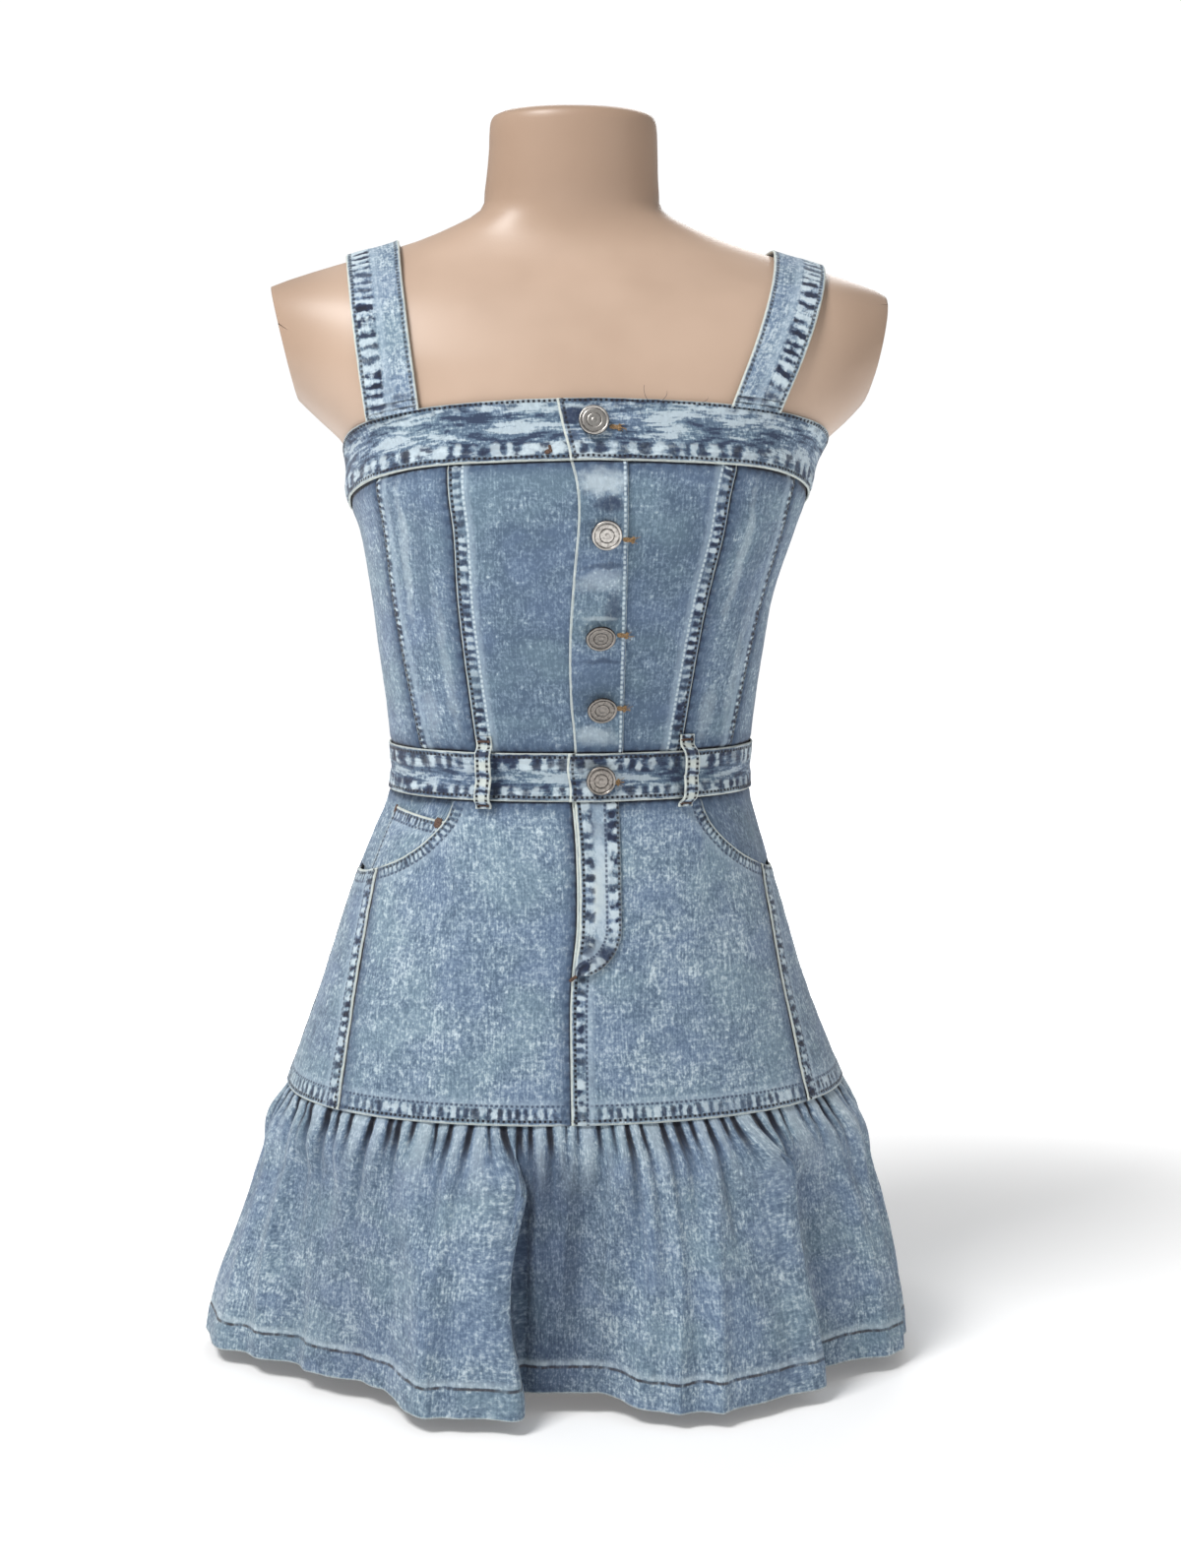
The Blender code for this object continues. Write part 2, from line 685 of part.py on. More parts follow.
def button_mesh(metal):
    bm = bmesh.new()
    points = [bm.verts.new((radius, 0, height)) for radius, height in BUTTON_PROFILE]
    edges = [bm.edges.new(pair) for pair in zip(points, points[1:])]
    bmesh.ops.spin(
        bm, geom=points + edges, cent=(0, 0, 0), axis=(0, 0, 1), angle=2 * pi, steps=BUTTON_STEPS, use_merge=True
    )
    bmesh.ops.remove_doubles(bm, verts=bm.verts[:], dist=0.00005)
    face_outwards(bm)
    mesh = bpy.data.meshes.new("shank_button")
    bm.to_mesh(mesh)
    bm.free()
    mesh.materials.append(metal)
    mesh.shade_smooth()
    mesh.set_sharp_from_angle(angle=radians(35))
    return mesh


def buttons(metal):
    mesh = button_mesh(metal)
    shank = BUTTON_PROFILE[1][0]
    for name, (x, z, tilt) in BUTTONS.items():
        angle = angle_at(x, z)
        cover = lapped(angle, z) if name in ("button_1", "button_5") else LAID + CLOTH
        lift = cover + SEAM + shank * sin(radians(tilt)) + 0.0002
        normal = facing_at(angle, z)
        foot = on_dress(angle, z) + normal * lift
        added = bpy.data.objects.new(name, mesh)
        bpy.context.scene.collection.objects.link(added)
        added.parent = bpy.data.objects["dress_on_form"]
        facing = normal.to_track_quat("Z", "Y").to_matrix().to_4x4()
        nod = Matrix.Rotation(radians(tilt), 4, "X")
        added.matrix_world = Matrix.Translation(foot) @ nod @ facing


# ---- form ----
def form_mesh():
    bm = bmesh.new()
    rings = []
    for z in FORM_RINGS:
        ring = []
        for k in range(FORM_SEGMENTS):
            turn = 2 * pi * k / FORM_SEGMENTS
            x, y = oval_point(body_section(z), turn + FORM_CROWD * sin(2 * turn))
            ring.append(bm.verts.new((x, y, z)))
        rings.append(ring)
    for low, high in zip(rings, rings[1:]):
        for k in range(FORM_SEGMENTS):
            after = (k + 1) % FORM_SEGMENTS
            bm.faces.new((low[k], low[after], high[after], high[k]))
    bm.faces.new(list(reversed(rings[0])))
    bm.faces.new(rings[-1])
    return bm


STUBS = (
    # x at the height STUB_Z, which way is out
    (0.2038, 1),
    (-0.1909, -1),
)
STUB_Z, STUB_TILT = 0.694, radians(13)


def dress_form(plaster):
    """The torso, neck and shoulders, with the shoulders cut flat a little way out."""
    bm = form_mesh()
    for x, side in STUBS:
        cut = bmesh.ops.bisect_plane(
            bm,
            geom=bm.verts[:] + bm.edges[:] + bm.faces[:],
            plane_co=(x, 0, STUB_Z),
            plane_no=(side * cos(STUB_TILT), 0, -sin(STUB_TILT)),
            clear_outer=True,
        )
        rim = [item for item in cut["geom_cut"] if isinstance(item, bmesh.types.BMEdge)]
        bmesh.ops.contextual_create(bm, geom=rim)
    face_outwards(bm)
    surface = BVHTree.FromBMesh(bm)
    add_object("dress_form", bm, plaster, 50)
    return surface


def main():
    for old in list(bpy.data.objects):
        bpy.data.objects.remove(old)
    frame = bpy.data.objects.new("dress_on_form", None)
    bpy.context.scene.collection.objects.link(frame)
    denim = finish("washed_denim", (0.25, 0.37, 0.48), 0.85)
    metal = finish("antique_silver", (0.45, 0.43, 0.40), 0.35, 1.0)
    plaster = finish("form_skin", (0.62, 0.46, 0.38), 0.45)
    surface = dress_form(plaster)
    bodice(denim)
    bands(denim)
    skirt(denim)
    fly(denim)
    ruffle(denim)
    for name in STRAPS:
        strap(name, surface, denim)
    for name in LOOPS:
        belt_loop(name, denim)
    buttons(metal)


main()
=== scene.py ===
"""The looks of a denim pinafore dress on a limbless dress form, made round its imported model.

Metres, +Z up. The form stands on z = 0 with its axis on x = y = 0, and the
dress faces -Y. Left and right are the wearer's, so left is +X.
"""

from math import atan, atan2, copysign, cos, exp, floor, hypot, pi, radians, sin, sqrt

import bmesh
import bpy
from mathutils import Matrix, Vector, noise
from mathutils.bvhtree import BVHTree
from mathutils.kdtree import KDTree


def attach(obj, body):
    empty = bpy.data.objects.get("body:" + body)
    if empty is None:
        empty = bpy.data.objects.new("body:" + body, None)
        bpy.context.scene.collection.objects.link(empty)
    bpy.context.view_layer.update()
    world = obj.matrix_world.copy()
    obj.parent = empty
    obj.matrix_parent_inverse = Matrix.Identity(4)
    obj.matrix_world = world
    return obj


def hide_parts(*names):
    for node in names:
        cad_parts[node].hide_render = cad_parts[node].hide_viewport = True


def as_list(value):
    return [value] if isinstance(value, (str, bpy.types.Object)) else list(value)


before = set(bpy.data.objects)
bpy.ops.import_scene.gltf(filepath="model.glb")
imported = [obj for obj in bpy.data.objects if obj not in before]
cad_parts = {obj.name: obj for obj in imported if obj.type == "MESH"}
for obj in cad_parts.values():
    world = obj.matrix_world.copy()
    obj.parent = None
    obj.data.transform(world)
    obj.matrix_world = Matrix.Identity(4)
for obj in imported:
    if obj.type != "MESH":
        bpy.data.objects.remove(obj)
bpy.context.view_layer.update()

# ---- the dress's sizes, as its solids have them ----
CLOTH, DOUBLE = 0.0012, 0.0020  # one layer of denim, and a folded strip
SEAM = 0.0003
EASE = 0.0013  # air between the form and the bodice
LAID = 0.0010  # gap under a layer that lies on a panel
WAIST, WAISTBAND = 0.3905, 0.030
WAISTBAND_LOW, WAISTBAND_HIGH = WAIST - WAISTBAND / 2, WAIST + WAISTBAND / 2
BAND_PROUD = 0.0008
RUFFLE_TOP, HEM = 0.1805, 0.0100
FRONT_EDGE, LAP_END, LAP_FADE = -0.0065, 0.012, 0.040
PLACKET_WIDTH = 0.0325

BODY = (
    # z, half_width, front, back, square, lean
    (0.0000, 0.1286, 0.0926, 0.0988, 2.20, 0.0000),
    (0.0637, 0.1362, 0.0973, 0.1055, 2.20, 0.0000),
    (0.1372, 0.1421, 0.0998, 0.1100, 2.20, 0.0000),
    (0.2100, 0.1423, 0.0998, 0.1104, 2.20, 0.0000),
    (0.2615, 0.1372, 0.0984, 0.1060, 2.20, 0.0000),
    (0.3024, 0.1288, 0.0956, 0.0991, 2.20, 0.0000),
    (0.3379, 0.1189, 0.0903, 0.0908, 2.20, 0.0000),
    (0.3632, 0.1132, 0.0851, 0.0826, 2.15, 0.0000),
    (0.3784, 0.1130, 0.0835, 0.0795, 2.15, 0.0000),
    (0.3905, 0.1147, 0.0850, 0.0800, 2.15, 0.0000),
    (0.4060, 0.1156, 0.0864, 0.0795, 2.20, 0.0000),
    (0.4336, 0.1185, 0.0926, 0.0802, 2.22, 0.0000),
    (0.4645, 0.1228, 0.1005, 0.0826, 2.25, 0.0000),
    (0.5031, 0.1284, 0.1106, 0.0858, 2.30, 0.0010),
    (0.5416, 0.1379, 0.1191, 0.0895, 2.35, 0.0040),
    (0.5671, 0.1464, 0.1209, 0.0913, 2.40, 0.0044),
    (0.5866, 0.1492, 0.1163, 0.0916, 2.40, 0.0069),
    (0.5988, 0.1554, 0.1116, 0.0915, 2.40, 0.0079),
    (0.6110, 0.1685, 0.1071, 0.0914, 2.40, 0.0084),
    (0.6241, 0.1816, 0.1026, 0.0913, 2.40, 0.0079),
    (0.6367, 0.1922, 0.0981, 0.0912, 2.40, 0.0069),
    (0.6498, 0.2018, 0.0931, 0.0901, 2.40, 0.0059),
    (0.6691, 0.2103, 0.0831, 0.0871, 2.40, 0.0049),
    (0.6835, 0.2101, 0.0743, 0.0821, 2.35, 0.0039),
    (0.6941, 0.2001, 0.0654, 0.0761, 2.30, 0.0029),
    (0.7013, 0.1825, 0.0585, 0.0707, 2.20, 0.0024),
    (0.7118, 0.1492, 0.0497, 0.0624, 2.10, 0.0024),
    (0.7242, 0.1062, 0.0438, 0.0545, 2.05, 0.0019),
    (0.7333, 0.0827, 0.0418, 0.0501, 2.05, 0.0015),
    (0.7457, 0.0593, 0.0423, 0.0476, 2.05, 0.0010),
    (0.7599, 0.0558, 0.0442, 0.0452, 2.05, 0.0010),
    (0.7837, 0.0540, 0.0456, 0.0451, 2.05, 0.0019),
    (0.7988, 0.0533, 0.0460, 0.0450, 2.05, 0.0019),
    (0.8044, 0.0513, 0.0440, 0.0431, 2.05, 0.0019),
    (0.8068, 0.0464, 0.0397, 0.0387, 2.05, 0.0019),
)
SKIRT = (
    # z, half_width, front, back, square, lean
    (0.0000, 0.2367, 0.1749, 0.1873, 2.05, -0.0021),
    (0.0425, 0.2298, 0.1713, 0.1816, 2.05, -0.0010),
    (0.0848, 0.2188, 0.1657, 0.1738, 2.05, -0.0010),
    (0.1268, 0.2059, 0.1580, 0.1631, 2.05, -0.0015),
    (0.1581, 0.1958, 0.1490, 0.1541, 2.10, -0.0020),
    (0.1810, 0.1848, 0.1366, 0.1432, 2.15, -0.0036),
    (0.2476, 0.1598, 0.1212, 0.1283, 2.15, -0.0048),
    (0.3075, 0.1408, 0.1091, 0.1136, 2.15, -0.0042),
    (0.3471, 0.1271, 0.0988, 0.0988, 2.15, -0.0022),
    (0.3668, 0.1201, 0.0916, 0.0891, 2.15, -0.0008),
    (0.3905, 0.1167, 0.0869, 0.0819, 2.15, 0.0000),
)
BAND = (
    # angle in degrees, top, width
    (0, 0.6241, 0.0375),
    (25, 0.6226, 0.0375),
    (46, 0.6187, 0.0365),
    (60, 0.6115, 0.0356),
    (75, 0.5998, 0.0337),
    (90, 0.5886, 0.0323),
    (120, 0.5827, 0.0323),
    (180, 0.5817, 0.0323),
)
SEAMS = {
    # name: x_low, z_low, x_high, z_high, on the back; x from the section's middle
    "princess": (0.064, WAISTBAND_HIGH, 0.0885, 0.582, False),
    "side_front": (0.099, WAISTBAND_HIGH, 0.130, 0.568, False),
    "back": (0.066, WAISTBAND_HIGH, 0.084, 0.5495, True),
    "skirt_front": (0.1495, RUFFLE_TOP, 0.1245, 0.3275, False),
}
SCOOP_START, SCOOP_END, SCOOP_DROP = radians(48.5), radians(90), 0.0530
FACING_TUCK, FACING_DEPTH, FACING_RISE = 0.008, 0.0034, radians(80)
COIN_DEPTH, COIN_START, COIN_EDGE = 0.0018, radians(50.2), radians(76.5)
COIN_HIGH, COIN_LOW = 0.3665, 0.3611
FLY_WIDTH, FLY_STRAIGHT, FLY_END, FLY_ROUND = 0.028, 0.300, 0.2707, 0.0305
GATHERS = 90
FOLDS = (
    # angle in degrees, reach past the plain cone at the hem
    (-90, 0.007), (-62, -0.021), (-49, -0.025), (-43, -0.020), (-33, 0.012), (-21, 0.010), (-14, -0.027),
    (2, -0.028), (16, 0.006), (26, 0.012), (40, 0.001), (54, -0.018), (71, -0.001), (90, -0.015),
    (109, 0.020), (125, -0.014), (142, 0.010), (157, -0.018), (171, 0.009), (186, -0.014), (202, 0.012),
    (219, -0.016), (236, 0.008), (252, -0.012), (270, 0.007),
)
PLEATS = (
    # angle in degrees, half spread, slip at the hem: the cloth on one side falls over the other
    (-19.5, 3.4, 6.4), (42.0, 3.6, 5.6), (118.0, 4.0, 5.0), (205.0, 4.0, -5.0),
)
PUFF = 0.0030
STRAP_WIDTH, STRAP_NEAR, STRAP_CENTRE = 0.0335, radians(4), 0.611
STRAPS = {
    # name: x at the front band, at the shoulder, at the back band
    "strap_right": (-0.115, -0.127, -0.083),
    "strap_left": (0.105, 0.146, 0.085),
}
LOOPS = {
    # name: x, on the back
    "belt_loop_front_right": (-0.0575, False),
    "belt_loop_front_left": (0.0645, False),
    "belt_loop_back_right": (-0.062, True),
    "belt_loop_back_centre": (0.0, True),
    "belt_loop_back_left": (0.062, True),
}
LOOP_WIDTH, LOOP_CLOTH = 0.0105, 0.0015
LOOP_PROFILE = (
    # z, height of the loop's inner side over the panels
    (0.3705, 0.0009), (0.3727, 0.0016), (0.3757, 0.0064), (0.3800, 0.0083), (0.3905, 0.0085),
    (0.4015, 0.0082), (0.4060, 0.0062), (0.4093, 0.0014), (0.4115, 0.0008), (0.4160, 0.0008),
)
BUTTONS = {
    # name: x, z, tilt down in degrees
    "button_1": (0.0059, 0.6081, 4),
    "button_2": (0.0128, 0.5424, 3),
    "button_3": (0.0102, 0.4813, 20),
    "button_4": (0.0120, 0.4359, 16),
    "button_5": (0.0118, 0.3884, 16),
}
STUBS, STUB_Z, STUB_TILT = ((0.2038, 1), (-0.1909, -1)), 0.694, radians(13)
SIDES = {"left": 1, "right": -1}

# Where the real front edges leave their straight line: height, distance to the left.
PLACKET_WANDER = (
    (0.400, 0.0030), (0.420, 0.0014), (0.438, -0.0006), (0.477, -0.0019), (0.518, 0.0), (0.553, 0.0024),
    (0.572, 0.0012), (0.590, -0.0024), (0.630, -0.0026),
)
BAND_WANDER = ((0.580, -0.0020), (0.592, -0.0028), (0.606, -0.0062), (0.626, -0.0100))
WAIST_WANDER = ((0.370, -0.0012), (0.384, -0.0006), (0.396, -0.0022), (0.410, -0.0008))
FLY_WANDER = (
    (0.170, -0.0030), (0.250, -0.0026), (0.272, -0.0010), (0.300, 0.0022), (0.345, 0.0026), (0.380, 0.0006),
)

# How the cloth is sewn: a folded edge lies over the next piece's tucked one.
TUCK, SINK = 0.0016, 0.0011
FINE, BAND_FINE, BACK_FINE = 0.0021, 0.0017, 0.0026  # the cloth's mesh, away from its edges
ROLL = (0.0, 0.0003, 0.0007, 0.0012, 0.0020, 0.0030)  # and near them
EDGE_REACH = 0.02  # how far in from an edge its fold and puckers go
WAVES = 0.0004  # how far a panel's surface waves

# How thick each kind of sheet is made.
PANEL_WALL, FACING_WALL, BAND_WALL, LAYER_WALL = 0.0009, 0.0008, 0.0016, 0.0019
STRAP_WALL, LOOP_WALL, RUFFLE_WALL = 0.0018, 0.0014, 0.0011

# The ruffle's mesh and pattern, and where its hem is stitched.
RUFFLE_COLUMNS, RUFFLE_WIDE, RUFFLE_LONG, HEM_STITCH = 600, 0.68, 0.170, 0.0175


# ---- curves and sections ----
def row_at(table, at):
    """The other columns of a table at one value of its first, on a smooth curve."""
    at = min(max(at, table[0][0]), table[-1][0])
    k = 0
    while k < len(table) - 2 and at > table[k + 1][0]:
        k += 1
    before, low = table[max(k - 1, 0)], table[k]
    high, after = table[k + 1], table[min(k + 2, len(table) - 1)]
    span = high[0] - low[0]
    t = (at - low[0]) / span
    values = []
    for column in range(1, len(low)):
        leave = (high[column] - before[column]) / (high[0] - before[0]) * span
        arrive = (after[column] - low[column]) / (after[0] - low[0]) * span
        values.append(
            low[column] * (1 - t) ** 2 * (1 + 2 * t)
            + leave * t * (1 - t) ** 2
            + high[column] * t * t * (3 - 2 * t)
            - arrive * t * t * (1 - t)
        )
    return values


def dress_section(z):
    """Half width, front, back, squareness and lean of the dress's outside at height z."""
    if z < WAIST:
        return row_at(SKIRT, z)
    half, front, back, square, lean = row_at(BODY, z)
    return half + CLOTH + EASE, front + CLOTH + EASE, back + CLOTH + EASE, square, lean


def oval_point(section, angle, out=0.0):
    """x and y on a level section; angle runs from the front towards the wearer's left."""
    half, front, back, square, lean = section
    side, ahead = sin(angle), cos(angle)
    depth = front if ahead > 0 else back
    radius = ((abs(side) / half) ** square + (abs(ahead) / depth) ** square) ** (-1 / square)
    x, y = radius * side, -radius * ahead
    normal_x = copysign((abs(x) / half) ** (square - 1) / half, side)
    normal_y = -copysign((abs(y) / depth) ** (square - 1) / depth, ahead)
    length = hypot(normal_x, normal_y)
    return x + lean + out * normal_x / length, y + out * normal_y / length


def on_dress(angle, z, out=0.0):
    x, y = oval_point(dress_section(z), angle, out)
    return Vector((x, y, z))


def facing_at(angle, z):
    """The direction that the dress's surface faces, its slope included."""
    along = on_dress(angle + 0.02, z) - on_dress(angle - 0.02, z)
    up = on_dress(angle, z + 0.002) - on_dress(angle, z - 0.002)
    return along.cross(up).normalized()


def angle_at(x, z, on_back=False):
    """The angle of the point of the dress with this x and z."""
    half, front, back, square, lean = dress_section(z)
    y = (back if on_back else front) * (1 - (abs(x - lean) / half) ** square) ** (1 / square)
    return atan2(x - lean, -y if on_back else y)


def band_row(angle):
    return row_at(BAND, abs((angle + pi) % (2 * pi) - pi) * 180 / pi)


def band_top(angle):
    return band_row(angle)[0]


def band_low(angle):
    top, width = band_row(angle)
    return top - width


def scoop_point(turn):
    """Angle and height on the pocket edge; turn goes from 0 at the waistband to pi / 2."""
    return SCOOP_START + (SCOOP_END - SCOOP_START) * (1 - cos(turn)), WAISTBAND_LOW - SCOOP_DROP * sin(turn)


def scoop_height(angle):
    share = min(max((abs(angle) - SCOOP_START) / (SCOOP_END - SCOOP_START), 0), 1)
    return WAISTBAND_LOW - SCOOP_DROP * sqrt(1 - (1 - share) ** 2)


def seam(name, side):
    """A seam as a function from height to angle; side is 1 on the left, -1 on the right."""
    x_low, z_low, x_high, z_high, on_back = SEAMS[name]

    def angle(z):
        x = x_low + (x_high - x_low) * (z - z_low) / (z_high - z_low)
        return side * angle_at(x + dress_section(z)[4], z, on_back)

    return angle


def upright(x):
    return lambda z: angle_at(x, z)


def wandering(table):
    """A front edge that wanders off its straight line, by a table of heights and distances."""
    return lambda z: angle_at(FRONT_EDGE + row_at(table, z)[0], z)


def radial(angle):
    return lambda z: angle


def level(z):
    return lambda angle: z


def both_sides(left, right, side):
    """The two edges in order of angle, for the left side or mirrored to the right one."""
    if side > 0:
        return left, right
    return (lambda z: -right(z)), (lambda z: -left(z))


def eased(value, start, end):
    share = min(max((value - start) / (end - start), 0), 1)
    return share * share * (3 - 2 * share)


def lapped(angle, z):
    """Height of a left band over the panels: up on the right one at the front edge, flat past the lap."""
    if angle > pi / 2:
        return BAND_PROUD
    return BAND_PROUD + (DOUBLE + SEAM) * (1 - eased(on_dress(angle, z).x, LAP_END + 0.004, LAP_FADE))


# ---- shader sums ----
class Shade:
    """A value or colour that changes over a surface and takes part in sums."""

    def __init__(self, tree, socket=None):
        self.tree, self.socket = tree, socket

    def node(self, kind, values=(), give=0, **settings):
        """Another node, its settings first, then the values or links of its sockets."""
        made = self.tree.nodes.new(kind)
        for key, value in settings.items():
            setattr(made, key, value)
        for key, value in dict(values).items():
            self.feed(made.inputs[key], value)
        return Shade(self.tree, made.outputs[give])

    def feed(self, target, value):
        if isinstance(value, Shade):
            self.tree.links.new(value.socket, target)
        else:
            target.default_value = value

    def sum(self, operation, *values):
        return self.node("ShaderNodeMath", enumerate(values), operation=operation)

    def __add__(self, other):
        return self.sum("ADD", self, other)

    def __sub__(self, other):
        return self.sum("SUBTRACT", self, other)

    def __rsub__(self, other):
        return self.sum("SUBTRACT", other, self)

    def __mul__(self, other):
        return self.sum("MULTIPLY", self, other)

    def __truediv__(self, other):
        return self.sum("DIVIDE", self, other)

    __radd__, __rmul__ = __add__, __mul__

    def sine(self):
        return self.sum("SINE", self)

    def size(self):
        """The value without its sign."""
        return self.sum("ABSOLUTE", self)

    def squared(self):
        return self.sum("POWER", self.size(), 2.0)

    def fraction(self):
        return self.sum("FRACT", self)

    def off(self, middle):
        """How far the value is from a middle one."""
        return (self - middle).size()

    def rise(self, start, end, low=0.0, high=1.0):
        """Eased from low at start to high at end, and level outside them."""
        values = {0: self, 1: start, 2: end, 3: low, 4: high}
        return self.node("ShaderNodeMapRange", values, interpolation_type="SMOOTHSTEP")

    def mix(self, first, second, kind="MIX"):
        """From the first colour to the second by this value."""
        values = {0: self, 6: first, 7: second}
        return self.node("ShaderNodeMix", values, 2, data_type="RGBA", blend_type=kind)

    def split(self):
        """The three numbers of a vector."""
        parts = self.node("ShaderNodeSeparateXYZ", {0: self})
        return [Shade(self.tree, socket) for socket in parts.socket.node.outputs]

    def place(self):
        """Object coordinates."""
        return self.node("ShaderNodeTexCoord", give=3)

    def mapped(self, name):
        """The two numbers of one of the piece's UV maps."""
        return self.node("ShaderNodeUVMap", uv_map=name).split()[:2]

    def grain(self, where, scale, detail):
        """Noise from 0 to 1 in every direction."""
        return self.node("ShaderNodeTexNoise", {"Vector": where, "Scale": scale, "Detail": detail})

    def speckle(self, across, up, seed, detail=2.0, rough=0.5):
        """Noise from 0 to 1, in two directions of cloth already scaled to its grain."""
        where = self.node("ShaderNodeCombineXYZ", {0: across, 1: up, 2: seed})
        values = {"Vector": where, "Scale": 1.0, "Detail": detail, "Roughness": rough}
        return self.node("ShaderNodeTexNoise", values)

    def bump(self, height, distance, strength=1.0):
        values = {"Height": height, "Distance": distance, "Strength": strength}
        return self.node("ShaderNodeBump", values)


def tone(red, green, blue):
    """A colour read off in 0 to 255, in the light units that a shader takes."""
    def unit(value):
        value /= 255
        return value / 12.92 if value < 0.04045 else ((value + 0.055) / 1.055) ** 2.4

    return unit(red), unit(green), unit(blue), 1.0


CREAM = tone(204, 210, 202)
PALE = tone(200, 214, 221)
SKY = tone(166, 184, 199)
DENIM_MIDDLE = tone(122, 143, 162)
DEEP = tone(78, 98, 120)
NAVY = tone(40, 52, 78)
INK = tone(24, 27, 38)
RUST = tone(158, 128, 92)


def begin(name, roughness, metallic=0.0):
    made = bpy.data.materials.new(name)
    made.use_nodes = True
    shader = made.node_tree.nodes["Principled BSDF"]
    shader.inputs["Roughness"].default_value = roughness
    shader.inputs["Metallic"].default_value = metallic
    return made, shader, Shade(made.node_tree)


# ---- denim ----
# How an edge looks: its worn lip, the stitch line beside it, the rope of puckers from start to
# end with its beat, a second stitch line that is pale, or dark where its distance is given
# below zero, and how far the puckers stand out.
EDGES = {
    # name: lip, its wear, stitch, its depth, rope start, rope end, beat, rope strength, second, lift
    "felled": (0.0010, 0.85, 0.0024, 1.00, 0.0030, 0.0084, 0.0062, 1.00, 0.0098, 0.00034),
    "felled_wide": (0.0014, 0.90, 0.0030, 1.00, 0.0036, 0.0090, 0.0078, 1.00, -0.0102, 0.00036),
    "fine": (0.0009, 0.65, 0.0017, 1.00, 0.0019, 0.0052, 0.0048, 1.00, 0.0, 0.00026),
    "band_high": (0.0007, 0.60, 0.0016, 1.00, 0.0026, 0.0060, 0.0100, 0.25, 0.0, 0.00018),
    "band_low": (0.0013, 0.85, 0.0028, 1.00, 0.0042, 0.0118, 0.0124, 0.85, 0.0, 0.00034),
    "waist_high": (0.0009, 0.75, 0.0025, 1.00, 0.0032, 0.0112, 0.0108, 0.90, 0.0, 0.00030),
    "waist_low": (0.0010, 0.80, 0.0027, 1.00, 0.0036, 0.0090, 0.0098, 0.90, 0.0, 0.00030),
    "piped": (0.0013, 0.90, 0.0027, 0.80, 0.0034, 0.0050, 0.0040, 0.0, 0.0, 0.00010),
    "loop": (0.0010, 0.90, 0.0022, 1.00, 0.0026, 0.0050, 0.0040, 0.0, 0.0, 0.00010),
    "strap_outer": (0.0013, 1.00, 0.0026, 0.85, 0.0034, 0.0146, 0.0078, 1.00, 0.0, 0.00036),
    "pocket": (0.0016, 1.00, 0.0026, 0.90, 0.0034, 0.0074, 0.0036, 0.75, -0.0084, 0.00020),
    "free": (0.0015, 0.70, 0.0030, 0.0, 0.0036, 0.0080, 0.0105, 0.0, 0.0, 0.00020),
    "lapped": (0.0015, 0.90, 0.0034, 0.90, 0.0040, 0.0080, 0.0105, 0.0, 0.0, 0.00020),
    "stitched": (0.0005, 0.50, 0.0010, 0.0, 0.0012, 0.0050, 0.0090, 0.0, 0.0020, 0.00020),
    "fly_left": (0.0014, 1.00, 0.0028, 1.00, 0.0036, 0.0096, 0.0092, 0.85, 0.0, 0.00040),
    "fly": (0.0006, 0.30, 0.0012, 0.90, 0.0018, 0.0080, 0.0094, 1.00, -0.0092, 0.00040),
    "seam_hem": (0.0012, 0.75, 0.0027, 1.00, 0.0038, 0.0104, 0.0060, 0.80, -0.0120, 0.00036),
}
STITCH = 0.0032
NO_HALO = ("band_high", "band_low", "waist_high", "waist_low")  # too narrow for a pale rim beside each rope


def beat_at(s, beat, seed):
    """Where the puckers stand along an edge: an uneven wave from -1 to 1."""
    return sin(2 * pi * s / beat + 1.4 * sin(83 * s + seed) + 1.0 * sin(191 * s + 2 * seed))


def edge_relief(style, s, d, seed):
    """How far an edge stands out or sinks at a distance d from it."""
    if style == "under":
        return -SINK * (1 - eased(d, TUCK, TUCK + 0.0030))
    lip, _, stitch, depth, start, end, beat, _, second, lift = EDGES[style]
    high = 0.00030 * exp(-((d - lip * 0.6) / 0.0012) ** 2)
    if d < 0.0012:
        high -= 0.0008 * (1 - d / 0.0012) ** 2
    if depth:
        high -= 0.00022 * exp(-((d - stitch) / 0.0006) ** 2)
    if d < end + 0.004:
        fade = eased(d, 0, start) * (1 - eased(d, end - 0.001, end + 0.004))
        high += lift * (beat_at(s, beat, seed) + 0.5) * fade
    if second:
        high -= 0.00018 * exp(-((d - abs(second)) / 0.0006) ** 2)
    return high


def tucked_shade_and_blotches(colour, along, s, d, seed):
    """Painted shade and a painted shadow line where an edge goes under the next piece, with dark indigo
    blotches along it.
    """
    # Painted shade, darkest at the tucked edge and gone about 13 mm from it.
    near = (1.0 - (d - TUCK).rise(0.0, 0.013)) * (along * 1.3 + 0.25)
    colour = (near * 0.95).mix(colour, tone(66, 86, 112))
    wave = (s * 760.0 + (s * 83.0 + seed).sine() * 1.6 + along * 4.0).sine()
    blob = wave.rise(-0.1, 0.8) * (1.0 - (d - TUCK).rise(0.0010, 0.0062))
    colour = (blob * 0.55).mix(colour, NAVY)
    # A near-black painted shadow line right at the fold.
    crease = 1.0 - (d - TUCK).rise(0.0004, 0.0022)
    return (crease * (along * 0.9 + 0.55)).mix(colour, INK)


